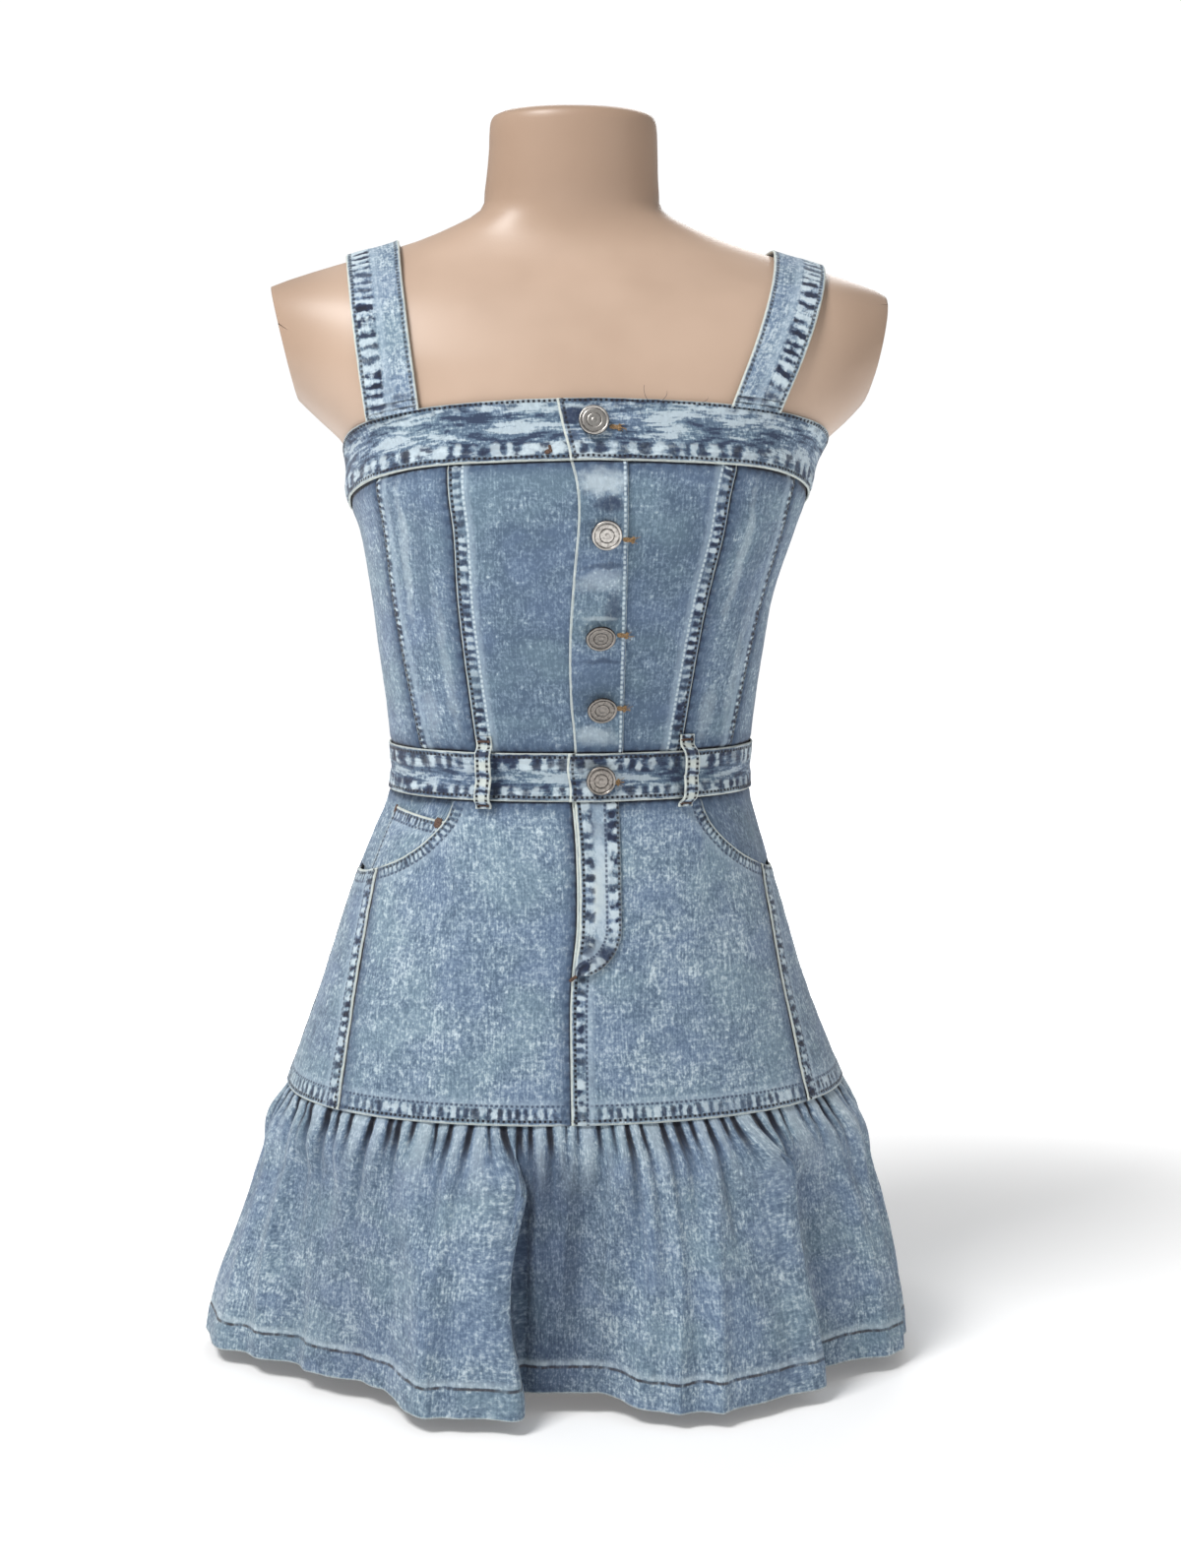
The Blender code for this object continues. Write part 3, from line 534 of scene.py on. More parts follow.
def rope_looks(kit, colour, along, vary, s, d, style, seed):
    """Pale ridges and dark hollows of the puckers beside a stitched edge."""
    start, end, beat, strength = EDGES[style][4:8]
    wave = (s * (2 * pi / beat) + (s * 83.0 + seed).sine() * 1.4 + (s * 191.0 + 2 * seed).sine()).sine()
    bars = kit.speckle(s * (1.2 / beat), d * 90.0, seed + 5.5, 2.0, 0.6)
    ragged = d + (along - 0.5) * 0.0034
    inside = ragged.rise(start - 0.0008, start + 0.0006) * (1.0 - ragged.rise(end - 0.0012, end + 0.0012))
    grain = wave * 0.70 + (bars - 0.5) * 4.6 + (along - 0.5) * 1.6
    power = vary.rise(0.30, 0.58, 0.45 * strength, strength)
    pale = grain.rise(0.0, 0.8) * inside
    dark = (1.0 - grain.rise(-0.55, 0.10)) * inside
    darkest = (1.0 - grain.rise(-1.30, -0.70)) * inside
    colour = (pale * power * 0.85).mix(colour, PALE)
    colour = (dark * power).mix(colour, tone(34, 45, 70))
    colour = (darkest * power * 0.7).mix(colour, INK)
    if style not in NO_HALO:
        halo = ragged.rise(end, end + 0.002) * (1.0 - ragged.rise(end + 0.003, end + 0.0075))
        colour = (halo * (0.45 * strength)).mix(colour, SKY)
    return colour


def edge_looks(kit, colour, high, s, d, style, seed):
    """An edge's wear on the colour and the fine height of its threads."""
    along = kit.speckle(s * 210.0, d * 330.0, seed + 3.3, 2.0)
    if style == "under":
        return tucked_shade_and_blotches(colour, along, s, d, seed), high
    lip, wear, stitch, depth, _, _, _, strength, second, _ = EDGES[style]
    vary = kit.speckle(s * 38.0, 0.0, seed + 7.7, 1.0)
    if strength:
        colour = rope_looks(kit, colour, along, vary, s, d, style, seed)
    dash = (s / STITCH).fraction().off(0.5).rise(0.16, 0.34)
    wavering = d + (along - 0.5) * 0.0008
    if depth:
        line = 1.0 - wavering.off(stitch).rise(0.0005, 0.0013)
        colour = (line * (1.0 - dash * 0.60) * depth).mix(colour, tone(27, 27, 36))
        high = high - line * 0.35
    if second:
        line = 1.0 - wavering.off(abs(second)).rise(0.0004, 0.0011)
        worked = line * dash.rise(0.0, 0.6, 0.25, 0.95)
        colour = (worked * 0.85).mix(colour, PALE if second > 0 else NAVY)
        high = high + line * (0.3 if second > 0 else -0.3)
    worn = 1.0 - (d + (along - 0.5) * 0.0014 + (vary - 0.5) * 0.0008).rise(lip - 0.0005, lip + 0.0003)
    return (worn * (along * 1.0 + vary * 0.5 + 0.15) * wear).mix(colour, CREAM), high


def blots_and_painted_light(kit, colour, u, v, marks, seed):
    """Places where the cloth is darker or paler: wash marks, and on some pieces painted shade, painted
    shadows and painted highlights. Each mark is its u and v, its half width and half height, its strength
    and its colour."""
    ragged = kit.speckle(u * 170.0, v * 210.0, seed + 12.2, 3.0, 0.6)
    u = u + (kit.speckle(u * 75.0, v * 55.0, seed + 4.6, 1.0) - 0.5) * 0.009
    v = v + (kit.speckle(u * 55.0, v * 75.0, seed + 6.4, 1.0) - 0.5) * 0.010
    for across, up, wide, tall, strength, hue in marks:
        apart = ((u - across) / wide).squared()
        above = ((v - up) / tall).squared()
        mask = 1.0 - (apart + above + (ragged - 0.5) * 2.0).rise(0.0, 1.5)
        colour = (mask * strength).mix(colour, hue)
    return colour


def streaks(kit, colour, grain, u, v, marbled, seed):
    """Pale and dark streaks along a band: how strong each is, and how many more dark ones."""
    pale, dark, more = marbled
    bend = kit.speckle(u * 30.0, v * 60.0, seed + 2.2, 1.0)
    streak = kit.speckle(u * 38.0, v * 200.0 + bend * 1.6, seed + 6.6, 3.0, 0.60)
    thin = kit.speckle(u * 90.0, v * 560.0, seed + 8.8, 2.0)
    flow = streak + (thin - 0.5) * 0.34 + (grain - 0.5) * 0.25
    colour = (flow.rise(0.50, 0.62) * pale).mix(colour, PALE)
    colour = ((1.0 - flow.rise(0.40 + more, 0.50 + more)) * dark).mix(colour, DEEP)
    return ((1.0 - flow.rise(0.34 + more, 0.42 + more)) * dark * 0.90).mix(colour, NAVY)


def denim(name, edges=(), marbled=(), shade=0.0, seed=0.0, extra=None):
    """Washed denim. Edges are (map, style) pairs, shade darkens it, marbled gives its streaks,
    and extra adds what one piece alone shows."""
    made, shader, kit = begin(name, 0.88)
    u, v = kit.mapped("cloth")
    clouds = kit.speckle(u * 16.0, v * 13.0, seed, 2.0)
    patches = kit.speckle(u * 60.0, v * 48.0, seed + 5.1, 3.0, 0.6)
    hue = kit.speckle(u * 22.0, v * 30.0, seed + 9.7, 2.0)
    grain = kit.speckle(u * 640.0, v * 480.0, seed + 1.7, 3.0, 0.65)
    crinkle = kit.speckle(u * 250.0 + (grain - 0.5) * 0.6, v * 200.0, seed + 7.1, 1.0)
    crinkle = crinkle.off(0.5).rise(0.0, 0.16)
    warp = kit.speckle(u * 900.0, v * 90.0, seed + 2.9, 2.0)
    weft = kit.speckle(u * 120.0, v * 700.0, seed + 4.3, 2.0)
    mottle = kit.speckle(u * 260.0 + (patches - 0.5) * 2.0, v * 190.0, seed + 3.9, 2.0, 0.6)
    light = 0.50 + (grain - 0.5) * 2.2 + (mottle - 0.5) * 1.15 + (patches - 0.5) * 0.85
    light = light + (clouds - 0.5) * 0.5 - crinkle * 0.24
    light = light + (warp - 0.5) * 1.2 + (weft - 0.5) * 0.6 - shade
    colour = light.rise(-0.30, 0.68).mix(DEEP, DENIM_MIDDLE)
    colour = light.rise(0.34, 1.25).mix(colour, PALE)
    colour = (hue.rise(0.48, 0.66) * 0.22).mix(colour, tone(108, 128, 166))
    colour = ((1.0 - hue.rise(0.34, 0.50)) * 0.25).mix(colour, tone(126, 152, 162))
    if marbled:
        colour = streaks(kit, colour, grain, u, v, marbled, seed)
    high = grain * 0.45 + warp * 0.35 - crinkle * 0.35
    if extra:
        colour, high = extra(kit, colour, high, u, v)
    for k, (mapped, style) in enumerate(edges):
        s, d = kit.mapped(mapped)
        colour, high = edge_looks(kit, colour, high, s, d, style, seed + 1.3 * k)
    kit.feed(shader.inputs["Base Color"], colour)
    kit.feed(shader.inputs["Normal"], kit.bump(high, 0.0005, 0.8))
    shader.inputs["Sheen Weight"].default_value = 0.15
    shader.inputs["Sheen Roughness"].default_value = 0.6
    shader.inputs["Specular IOR Level"].default_value = 0.25
    return made


# ---- cloth ----
def shares(length, step=FINE):
    """Stations from 0 to 1 along a length, close together near both ends."""
    inner = max(round((length - 2 * ROLL[-1]) / step), 1)
    middle = [ROLL[-1] + (length - 2 * ROLL[-1]) * k / inner for k in range(inner + 1)]
    stations = [*ROLL[:-1], *middle, *(length - r for r in reversed(ROLL[:-1]))]
    return [station / length for station in stations]


def along_curve(curve, points):
    """For each point, the length along a curve to its nearest place, and the distance to it."""
    tree = KDTree(len(curve))
    lengths = [0.0]
    for k, point in enumerate(curve):
        tree.insert(point, k)
        if k:
            lengths.append(lengths[-1] + (point - curve[k - 1]).length)
    tree.balance()
    found = []
    for point in points:
        _, k, _ = tree.find(point)
        best = None
        for first in (k - 1, k):
            if 0 <= first < len(curve) - 1:
                start, run = curve[first], curve[first + 1] - curve[first]
                if run.length_squared < 1e-14:
                    continue
                share = min(max((point - start).dot(run) / run.length_squared, 0), 1)
                away = (start + run * share - point).length
                if best is None or away < best[1]:
                    best = (lengths[first] + run.length * share, away)
        found.append(best)
    return found


def add_piece(name, bm, made, *replaced, smooth=60):
    """A finished mesh as a piece of the dress that stands for its solids."""
    mesh = bpy.data.meshes.new(name)
    bm.to_mesh(mesh)
    bm.free()
    mesh.materials.append(made)
    mesh.shade_smooth()
    mesh.set_sharp_from_angle(angle=radians(smooth))
    piece = bpy.data.objects.new(name, mesh)
    bpy.context.scene.collection.objects.link(piece)
    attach(piece, "root")
    if replaced:
        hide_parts(*replaced)
    return piece


def cloth_grid(bm, wide, high):
    """A flat grid, as rows of its corners from the lowest up."""
    bmesh.ops.create_grid(bm, x_segments=wide - 1, y_segments=high - 1, size=0.5)
    grid = [[None] * wide for _ in range(high)]
    for corner in bm.verts:
        column = round((corner.co.x + 0.5) * (wide - 1))
        row = round((corner.co.y + 0.5) * (high - 1))
        grid[row][column] = corner
    return grid


def runs(grid):
    """The length of cloth up to each corner, along its row and up its column."""
    across = [[0.0] * len(line) for line in grid]
    up = [[0.0] * len(line) for line in grid]
    for row, line in enumerate(grid):
        for column, corner in enumerate(line):
            if column:
                across[row][column] = across[row][column - 1] + (corner.co - line[column - 1].co).length
            if row:
                up[row][column] = up[row - 1][column] + (corner.co - grid[row - 1][column].co).length
    return across, up


def hang(name, bm, made, thick, across, up, area, held, rests_on):
    """A finished sheet with its second layer."""
    piece = add_piece(name + "_cloth", bm, made, name)
    wall = piece.modifiers.new("wall", "SOLIDIFY")
    wall.thickness, wall.offset, wall.use_even_offset = thick, -1, False
    width, length = round(max(line[-1] for line in across), 3), round(max(up[-1]), 3)
    area = min(area, width * length)
    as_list(rests_on)


def cloth(name, columns, rows, place, made, edges, thick, waves=WAVES, seed=0.0,
          held="stretched", curves=None, rests_on=("dress_form",)):
    """A sheet of cloth. A grid's corners move to place(across, up), its edges get their folds
    and puckers, and a second layer gives it its thickness. Stations are shares from 0 to 1."""
    bm = bmesh.new()
    grid = cloth_grid(bm, len(columns), len(rows))
    for row, up in enumerate(rows):
        for column, across in enumerate(columns):
            grid[row][column].co = place(across, up)
    bm.normal_update()
    bm.verts.index_update()
    borders = {
        "left": [line[0].co.copy() for line in grid],
        "right": [line[-1].co.copy() for line in grid],
        "low": [corner.co.copy() for corner in grid[0]],
        "high": [corner.co.copy() for corner in grid[-1]],
        **(curves(grid) if curves else {}),
    }
    points = [corner.co.copy() for corner in bm.verts]
    maps = {edge: along_curve(borders[edge], points) for edge, _ in edges}
    u, v = runs(grid)
    flat = {}
    for row, line in enumerate(grid):
        for column, corner in enumerate(line):
            flat[corner.index] = (u[row][column] - u[row][-1] / 2, v[row][column])
    area = sum(face.calc_area() for face in bm.faces)
    for corner in bm.verts:
        lift = 0.0
        for k, (edge, style) in enumerate(edges):
            s, d = maps[edge][corner.index]
            if d < EDGE_REACH:
                lift += edge_relief(style, s, d, seed + 1.3 * k)
        at = corner.co
        lift += waves * (noise.noise(at * 22 + Vector((seed, 0, 0))) * 0.8 + 0.4)
        lift += waves * 0.45 * noise.noise(at * 75 + Vector((0, seed, 0)))
        lift += waves * 0.30 * noise.noise(Vector((at.x * 60, at.y * 60, at.z * 240 + seed)))
        corner.co = at + corner.normal * lift
    layer = bm.loops.layers.uv.new("cloth")
    edge_layers = [(bm.loops.layers.uv.new(edge), maps[edge]) for edge, _ in edges]
    for face in bm.faces:
        for loop in face.loops:
            k = loop.vert.index
            loop[layer].uv = flat[k]
            for edge_layer, values in edge_layers:
                loop[edge_layer].uv = values[k]
    hang(name, bm, made, thick, u, v, area, held, rests_on)


def panel(name, left, right, low, high, under=(), folds=None, proud=0.0, thick=PANEL_WALL, fine=FINE,
          waves=WAVES, held="stretched", looks=None, rests_on=("dress_form",), *, seed):
    """A cloth piece between two seams and two ends; under names its tucked edges, folds its folded ones."""
    middle = (low(left(0.4)) + high(left(0.4))) / 2
    radius = on_dress(left(middle), middle).xy.length
    width = abs(right(middle) - left(middle)) * radius
    a_middle = (left(middle) + right(middle)) / 2
    length = high(a_middle) - low(a_middle)
    tuck = {edge: TUCK if edge in under else 0.0001 for edge in ("left", "right", "low", "high")}
    ends = {}

    def end_heights(across):
        if across not in ends:
            found = []
            for height in (low, high):
                z = height(left(middle))
                for _ in range(8):
                    z = height(left(z) + (right(z) - left(z)) * across)
                found.append(z)
            ends[across] = (found[0] - tuck["low"], found[1] + tuck["high"])
        return ends[across]

    def place(across, up):
        z_low, z_high = end_heights(across)
        z = z_low + (z_high - z_low) * up
        around = on_dress(left(z), z).xy.length
        first, last = left(z) - tuck["left"] / around, right(z) + tuck["right"] / around
        angle = first + (last - first) * across
        return on_dress(angle, z, proud(angle, z) if callable(proud) else proud)

    edges = [(edge, "under") for edge in under] + list((folds or {}).items())
    made = denim(name, edges, seed=seed, **(looks or {}))
    columns, rows = shares(width, fine), shares(length, fine)
    cloth(name, columns, rows, place, made, edges, thick, waves, seed, held, rests_on=rests_on)


def bodice():
    """The panels between the top band and the waistband, and the placket over the front edges."""
    ends, span = ("low", "high"), (level(WAISTBAND_HIGH), band_low)
    centre = {
        1: (upright(LAP_END), seam("princess", 1)),
        -1: (seam("princess", -1), upright(LAP_END)),
    }
    for word, side in SIDES.items():
        outer, inner = ("right", "left") if side > 0 else ("left", "right")
        panel(f"centre_front_{word}", *centre[side], *span, ends, {outer: "felled"},
              looks={"shade": 0.32}, seed=11.0 + side)
        edges = both_sides(seam("princess", 1), seam("side_front", 1), side)
        panel(f"side_front_{word}", *edges, *span, (*ends, inner), {outer: "fine"},
              looks={"shade": 0.16, "extra": bust_crease_light}, seed=21.0 + side)
        edges = both_sides(seam("side_front", 1), seam("back", 1), side)
        panel(f"side_{word}", *edges, *span, (*ends, inner, outer), looks={"shade": 0.12}, seed=31.0 + side)
        edges = both_sides(seam("back", 1), radial(pi), side)
        folds = {inner: "felled"}
        under = ends if side > 0 else (*ends, "left")
        if side > 0:
            folds["right"] = "felled"
        panel(f"centre_back_{word}", *edges, *span, under, folds, looks={"shade": 0.16}, seed=41.0 + side)
    panel(
        "button_placket", wandering(PLACKET_WANDER), upright(FRONT_EDGE + PLACKET_WIDTH), *span,
        ends, {"left": "free", "right": "stitched"},
        proud=LAID + CLOTH, thick=LAYER_WALL, fine=0.0016, waves=0.0007, seed=53.0,
        looks={"shade": 0.26, "extra": placket_marks_and_shadows}, rests_on=("centre_front_left", "centre_front_right"),
    )


def bust_crease_light(kit, colour, high, u, v):
    """Painted light and shade of soft upright creases: painted highlights along their tops and painted
    shade in one hollow.
    """
    marks = (
        # Painted highlights on the crease tops and painted shade in the hollow between them.
        (-0.010, 0.1300, 0.0045, 0.0480, 0.30, PALE),
        (0.004, 0.1180, 0.0060, 0.0500, 0.45, DEEP),
        (0.011, 0.0600, 0.0045, 0.0500, 0.20, PALE),
        (-0.006, 0.0250, 0.0060, 0.0200, 0.22, PALE),
    )
    return blots_and_painted_light(kit, colour, u, v, marks, 51.0), high


def placket_marks_and_shadows(kit, colour, high, u, v):
    """Bleached under the band, darker in patches and where the front creases, with painted shadows right
    under the band and under the second and third buttons.
    """
    marks = (
        (0.000, 0.1745, 0.0150, 0.0100, 0.62, PALE),
        # A near-black painted shadow right under the top band.
        (0.004, 0.1865, 0.0120, 0.0018, 0.90, INK),
        (0.004, 0.1600, 0.0100, 0.0050, 0.80, NAVY),
        (0.000, 0.1130, 0.0170, 0.0080, 0.30, PALE),
        (0.009, 0.0960, 0.0060, 0.0100, 0.60, NAVY),
        (-0.004, 0.0450, 0.0150, 0.0150, 0.45, DEEP),
        (-0.002, 0.0130, 0.0150, 0.0080, 0.45, PALE),
        # Painted shadows under the second and third buttons.
        (0.0010, 0.1215, 0.0140, 0.0018, 0.55, NAVY),
        (0.0015, 0.0620, 0.0130, 0.0018, 0.50, NAVY),
        (0.0005, 0.0895, 0.0120, 0.0022, 0.45, PALE),
    )
    return blots_and_painted_light(kit, colour, u, v, marks, 55.0), high


def band_lap_shade(kit, colour, high, _, v):
    """Painted shade in two dark patches by the lapped end's button, where the button pulls the band down.
    """
    _, d = kit.mapped("left")
    marks = (
        # Painted shade beside the lapped end's button.
        (0.009, 0.029, 0.011, 0.0050, 0.90, NAVY),
        (0.006, 0.015, 0.004, 0.0080, 0.55, NAVY),
    )
    return blots_and_painted_light(kit, colour, d, v, marks, 57.0), high


def waist_lap_shade(kit, colour, high, _, v):
    """A painted shadow at the top of the lapped end and painted shade beside its button."""
    _, d = kit.mapped("left")
    marks = (
        # A near-black painted shadow along the top of the lapped end.
        (0.012, 0.0250, 0.0080, 0.0030, 0.85, INK),
        (0.010, 0.0090, 0.0050, 0.0040, 0.45, PALE),
        # Painted shade beside the button.
        (0.024, 0.0225, 0.0060, 0.0040, 0.50, NAVY),
    )
    return blots_and_painted_light(kit, colour, d, v, marks, 59.0), high


def bands():
    """The top band in three parts and the waistband in two; each left end laps over the right one."""
    both = {"low": "band_low", "high": "band_high"}
    looks = {"marbled": (0.66, 0.95, 0.012), "shade": 0.20}
    strip = {"thick": BAND_WALL, "fine": BAND_FINE, "waves": 0.0005}
    ends = (band_low, band_top)
    folds = {**both, "left": "lapped"}
    panel("top_band_left", wandering(BAND_WANDER), radial(pi / 2), *ends, ("right",), folds,
          lapped, **strip, looks={**looks, "extra": band_lap_shade}, seed=61.0)
    panel("top_band_right", radial(-pi / 2), upright(LAP_END), *ends, (), both,
          BAND_PROUD, **strip, looks=looks, seed=62.0)
    panel("top_band_back", radial(pi / 2), radial(3 * pi / 2), *ends, ("right",), {**both, "left": "fine"},
          BAND_PROUD, **strip, looks=looks, seed=63.0)
    both = {"low": "waist_low", "high": "waist_high"}
    looks = {"marbled": (0.55, 1.00, 0.030), "shade": 0.45}
    strip["waves"] = 0.0006
    ends = (level(WAISTBAND_LOW), level(WAISTBAND_HIGH))
    folds = {**both, "left": "lapped", "right": "fine"}
    panel("waistband_left", wandering(WAIST_WANDER), radial(pi), *ends, (), folds,
          lapped, **strip, looks={**looks, "extra": waist_lap_shade}, seed=64.0)
    panel("waistband_right", radial(-pi), upright(LAP_END), *ends, ("left",), both,
          BAND_PROUD, **strip, looks=looks, seed=65.0)


def skirt_patch(name, side, left, right, low_high, edges, length, waist_until, seed):
    """A skirt piece under the scoop, worked out on the left side and mirrored for the right one.
    low_high(across) gives the share and height of both ends of a column."""
    ends = {}

    def place(across, up):
        share = across if side > 0 else 1 - across
        if share not in ends:
            ends[share] = low_high(share)
        (low_share, z_low), (high_share, z_high) = ends[share]
        z = z_low + (z_high - z_low) * up
        at = low_share + (high_share - low_share) * up
        angle = left(z) + (right(z) - left(z)) * at
        return on_dress(side * angle, z)

    def curves(grid):
        top = [corner.co.copy() for corner in (grid[-1] if side > 0 else reversed(grid[-1]))]
        split = next((k for k, point in enumerate(top) if point.z < waist_until), len(top) - 1)
        found = {"scoop": top[max(split - 1, 0):]}
        if split > 1:
            found["waist"] = top[:split]
        return found

    made = denim(name, edges, seed=seed)
    waistband = "waistband_" + name.split("_")[-1]
    cloth(name, shares(length), shares(0.19), place, made, edges, PANEL_WALL, 0.0006, seed,
          "hung", curves, (waistband,))


def scoop_meets(front_seam):
    """The turn at which the pocket edge crosses the skirt's front seam."""
    first, last = 0.0, pi / 2
    for _ in range(40):
        turn = (first + last) / 2
        angle, z = scoop_point(turn)
        first, last = (turn, last) if angle < front_seam(z) else (first, turn)
    return first


def skirt():
    """Fronts with their scooped pocket edges, side pieces, backs and what shows in the pockets."""
    front_seam, side_seam = seam("skirt_front", 1), radial(pi / 2)
    edge = wandering(FLY_WANDER)
    centre_edge = {1: edge, -1: lambda z: -edge(z)}
    meet = scoop_meets(front_seam)
    for word, side in SIDES.items():
        inner, outer = ("left", "right") if side > 0 else ("right", "left")

        def front_left(z, centre=centre_edge[side], tucked=TUCK / 0.09 if side < 0 else 0.0):
            return centre(z) - tucked

        def front_right(z):
            return front_seam(z) + TUCK / 0.12

        def front_ends(share, left=front_left, right=front_right):
            if share < 0.5:
                start = left(WAISTBAND_LOW)
                angle, z = start + (SCOOP_START - start) * share / 0.5, WAISTBAND_LOW
            else:
                angle, z = scoop_point(meet * 1.012 * (share - 0.5) / 0.5)
            lift = TUCK * (1 - eased(share, 0.5, 0.60))
            return (share, RUFFLE_TOP), ((angle - left(z)) / (right(z) - left(z)), z + lift)

        edges = [("low", "seam_hem"), ("scoop", "pocket"), ("waist", "under"), (outer, "under")]
        edges.append((inner, "felled_wide" if side > 0 else "under"))
        waist_until = WAISTBAND_LOW + TUCK * 0.9
        skirt_patch(f"skirt_front_{word}", side, front_left, front_right, front_ends, edges, 0.14,
                    waist_until, 71.0 + side)

        def side_ends(share):
            z = scoop_point(meet)[1]
            for _ in range(8):
                z = scoop_height(front_seam(z) + (side_seam(z) - front_seam(z)) * share)
            return (share, RUFFLE_TOP), (share, z)

        edges = [("low", "seam_hem"), ("scoop", "pocket"), (inner, "felled_wide"), (outer, "fine")]
        skirt_patch(f"skirt_side_{word}", side, front_seam, side_seam, side_ends, edges, 0.07,
                    9.0, 81.0 + side)

        edges = both_sides(side_seam, radial(pi), side)
        folds = {"low": "seam_hem"}
        under = ("high", inner) if side > 0 else ("high", inner, "left")
        if side > 0:
            folds["right"] = "felled"
        panel(f"skirt_back_{word}", *edges, level(RUFFLE_TOP), level(WAISTBAND_LOW), under, folds,
              waves=0.0006, fine=BACK_FINE, held="hung", rests_on=(f"waistband_{word}",), seed=91.0 + side)
        facing(f"pocket_facing_{word}", side)
    coin_pocket()
    fly()


def facing(name, side):
    """The cloth behind a scoop; it comes out to the side seam above the scoop."""
    first, last = SCOOP_START - radians(3), pi / 2 - SEAM / 0.24

    def place(across, up):
        angle = first + (last - first) * (across if side > 0 else 1 - across)
        low = scoop_height(angle) - FACING_TUCK
        z = low + (WAISTBAND_LOW + TUCK - low) * up
        below = scoop_height(angle)
        rise = max(angle - FACING_RISE, 0) / (last - FACING_RISE) * eased(z, below, below + 0.004)
        sag = 0.0012 * exp(-(((angle - radians(66)) * 8) ** 2)) * eased(z, 0.33, 0.36)
        return on_dress(side * angle, z, -FACING_DEPTH * (1 - rise) - sag)

    edges, seed = [("high", "under")], 101.0 + side
    # The left facing is painted darker: painted shade inside its pocket.
    made = denim(name, edges, seed=seed, shade=0.30 if side > 0 else 0.0)
    waistband = "waistband_" + name.split("_")[-1]
    cloth(name, shares(0.085), shares(0.055), place, made, edges, FACING_WALL, 0.0005, seed, "hung",
          rests_on=(waistband,))


def coin_pocket():
    """The small pocket on the right facing; its lower edge lies below the scoop."""
    slope = (COIN_HIGH - COIN_LOW) / (COIN_EDGE - COIN_START)

    def place(across, up):
        angle = COIN_EDGE + (COIN_START - COIN_EDGE) * across
        low = scoop_height(angle) - FACING_TUCK / 2
        high = COIN_HIGH - slope * (COIN_EDGE - angle)
        return on_dress(-angle, low + (high - low) * up, -COIN_DEPTH)

    edges = [("high", "pocket"), ("left", "piped")]
    made = denim("coin_pocket", edges, seed=105.0, shade=-0.05)
    cloth("coin_pocket", shares(0.048), shares(0.035), place, made, edges, FACING_WALL, 0.0003, 105.0,
          rests_on=("pocket_facing_right",))


def fly():
    """The J-shaped layer that is stitched over the top of the centre front seam."""
    left = wandering([(z, x + 0.0015) for z, x in FLY_WANDER])

    def right(z):
        sunk = min(max(FLY_STRAIGHT - z, 0) / FLY_ROUND, 0.999)
        return angle_at(FRONT_EDGE + 0.002 + FLY_WIDTH * sqrt(1 - sunk * sunk), z)

    panel("fly", left, right, level(FLY_END), level(WAISTBAND_LOW), ("high",),
          {"left": "fly_left", "right": "fly"}, proud=LAID + CLOTH, thick=LAYER_WALL, fine=0.0015,
          waves=0.0005, rests_on=("skirt_front_left",), looks={"extra": fly_looks}, seed=107.0)


def fly_looks(kit, colour, high, u, v):
    """Bleached down the middle, and dark where it is stitched down at its lower end."""
    marks = (
        (0.0005, 0.0620, 0.0050, 0.0330, 0.95, PALE),
        (0.0000, 0.0560, 0.0040, 0.0200, 0.50, CREAM),
        (0.0020, 0.0145, 0.0130, 0.0090, 0.95, NAVY),
        (-0.002, 0.0220, 0.0060, 0.0040, 0.60, INK),
        (0.0020, 0.0960, 0.0100, 0.0060, 0.60, NAVY),
    )
    return blots_and_painted_light(kit, colour, u, v, marks, 61.0), high


# ---- ruffle ----
def in_degrees(angle):
    """An angle in degrees from -90 to 270, as the ruffle's tables have them."""
    return (angle * 180 / pi + 90) % 360 - 90


def fold_reach(angle):
    degrees = in_degrees(angle)
    for (start, reach), (end, next_reach) in zip(FOLDS, FOLDS[1:]):
        if start <= degrees <= end:
            share = (1 - cos(pi * (degrees - start) / (end - start))) / 2
            return reach + (next_reach - reach) * share
    return FOLDS[0][1]


def ruffle_base(angle, drop):
    """The ruffle's outside without its gathers; drop goes from 0 at the seam to 1 at the hem."""
    reach = fold_reach(angle)
    fallen = eased(drop, 0.0, 0.24) * (1.15 - 0.42 * eased(drop, 0.15, 0.55) + 0.27 * eased(drop, 0.6, 1.0))
    degrees = in_degrees(angle)
    for middle, spread, slip in PLEATS:
        angle += radians(slip) * fallen * exp(-(((degrees - middle) / spread) ** 2))
    hem = HEM + max(-reach, 0) * 0.15
    z = RUFFLE_TOP + (hem - RUFFLE_TOP) * drop
    puff = PUFF * sin(pi * min(max(drop, 0) / 0.3, 1)) ** 2
    return on_dress(angle, z, puff + reach * max(drop, 0) ** 0.95)


def chance(k, salt):
    """An even spread of numbers from 0 to 1 that stays the same each time."""
    return (sin(k * 12.9898 + salt * 78.233) * 43758.5453) % 1


def gather_at(angle, drop):
    """How deep the gathers are at a place, from 0 on a ridge to about 1 in a valley."""
    beat = 2 * pi / GATHERS
    k = floor(angle / beat)
    deep = 0.0
    for near in (k - 1, k, k + 1, k + 2):
        turned = near % GATHERS
        long = chance(turned, 3)
        reach = 0.22 + 0.95 * long ** 1.9
        strength = (0.45 + 0.35 * chance(turned, 5) + 0.45 * long) * max(1 - drop / reach, 0) ** 1.1
        sway = drop * beat * 2.2 * (chance(turned, 2) - 0.5)
        middle = (near + 0.62 * (chance(turned, 1) - 0.5)) * beat + sway
        spread = beat * (0.15 + 0.12 * chance(turned, 4) + 0.90 * drop)
        away = abs(angle - middle) / spread
        deep += strength * exp(-(away ** 1.5))
    return min(deep, 1.25)


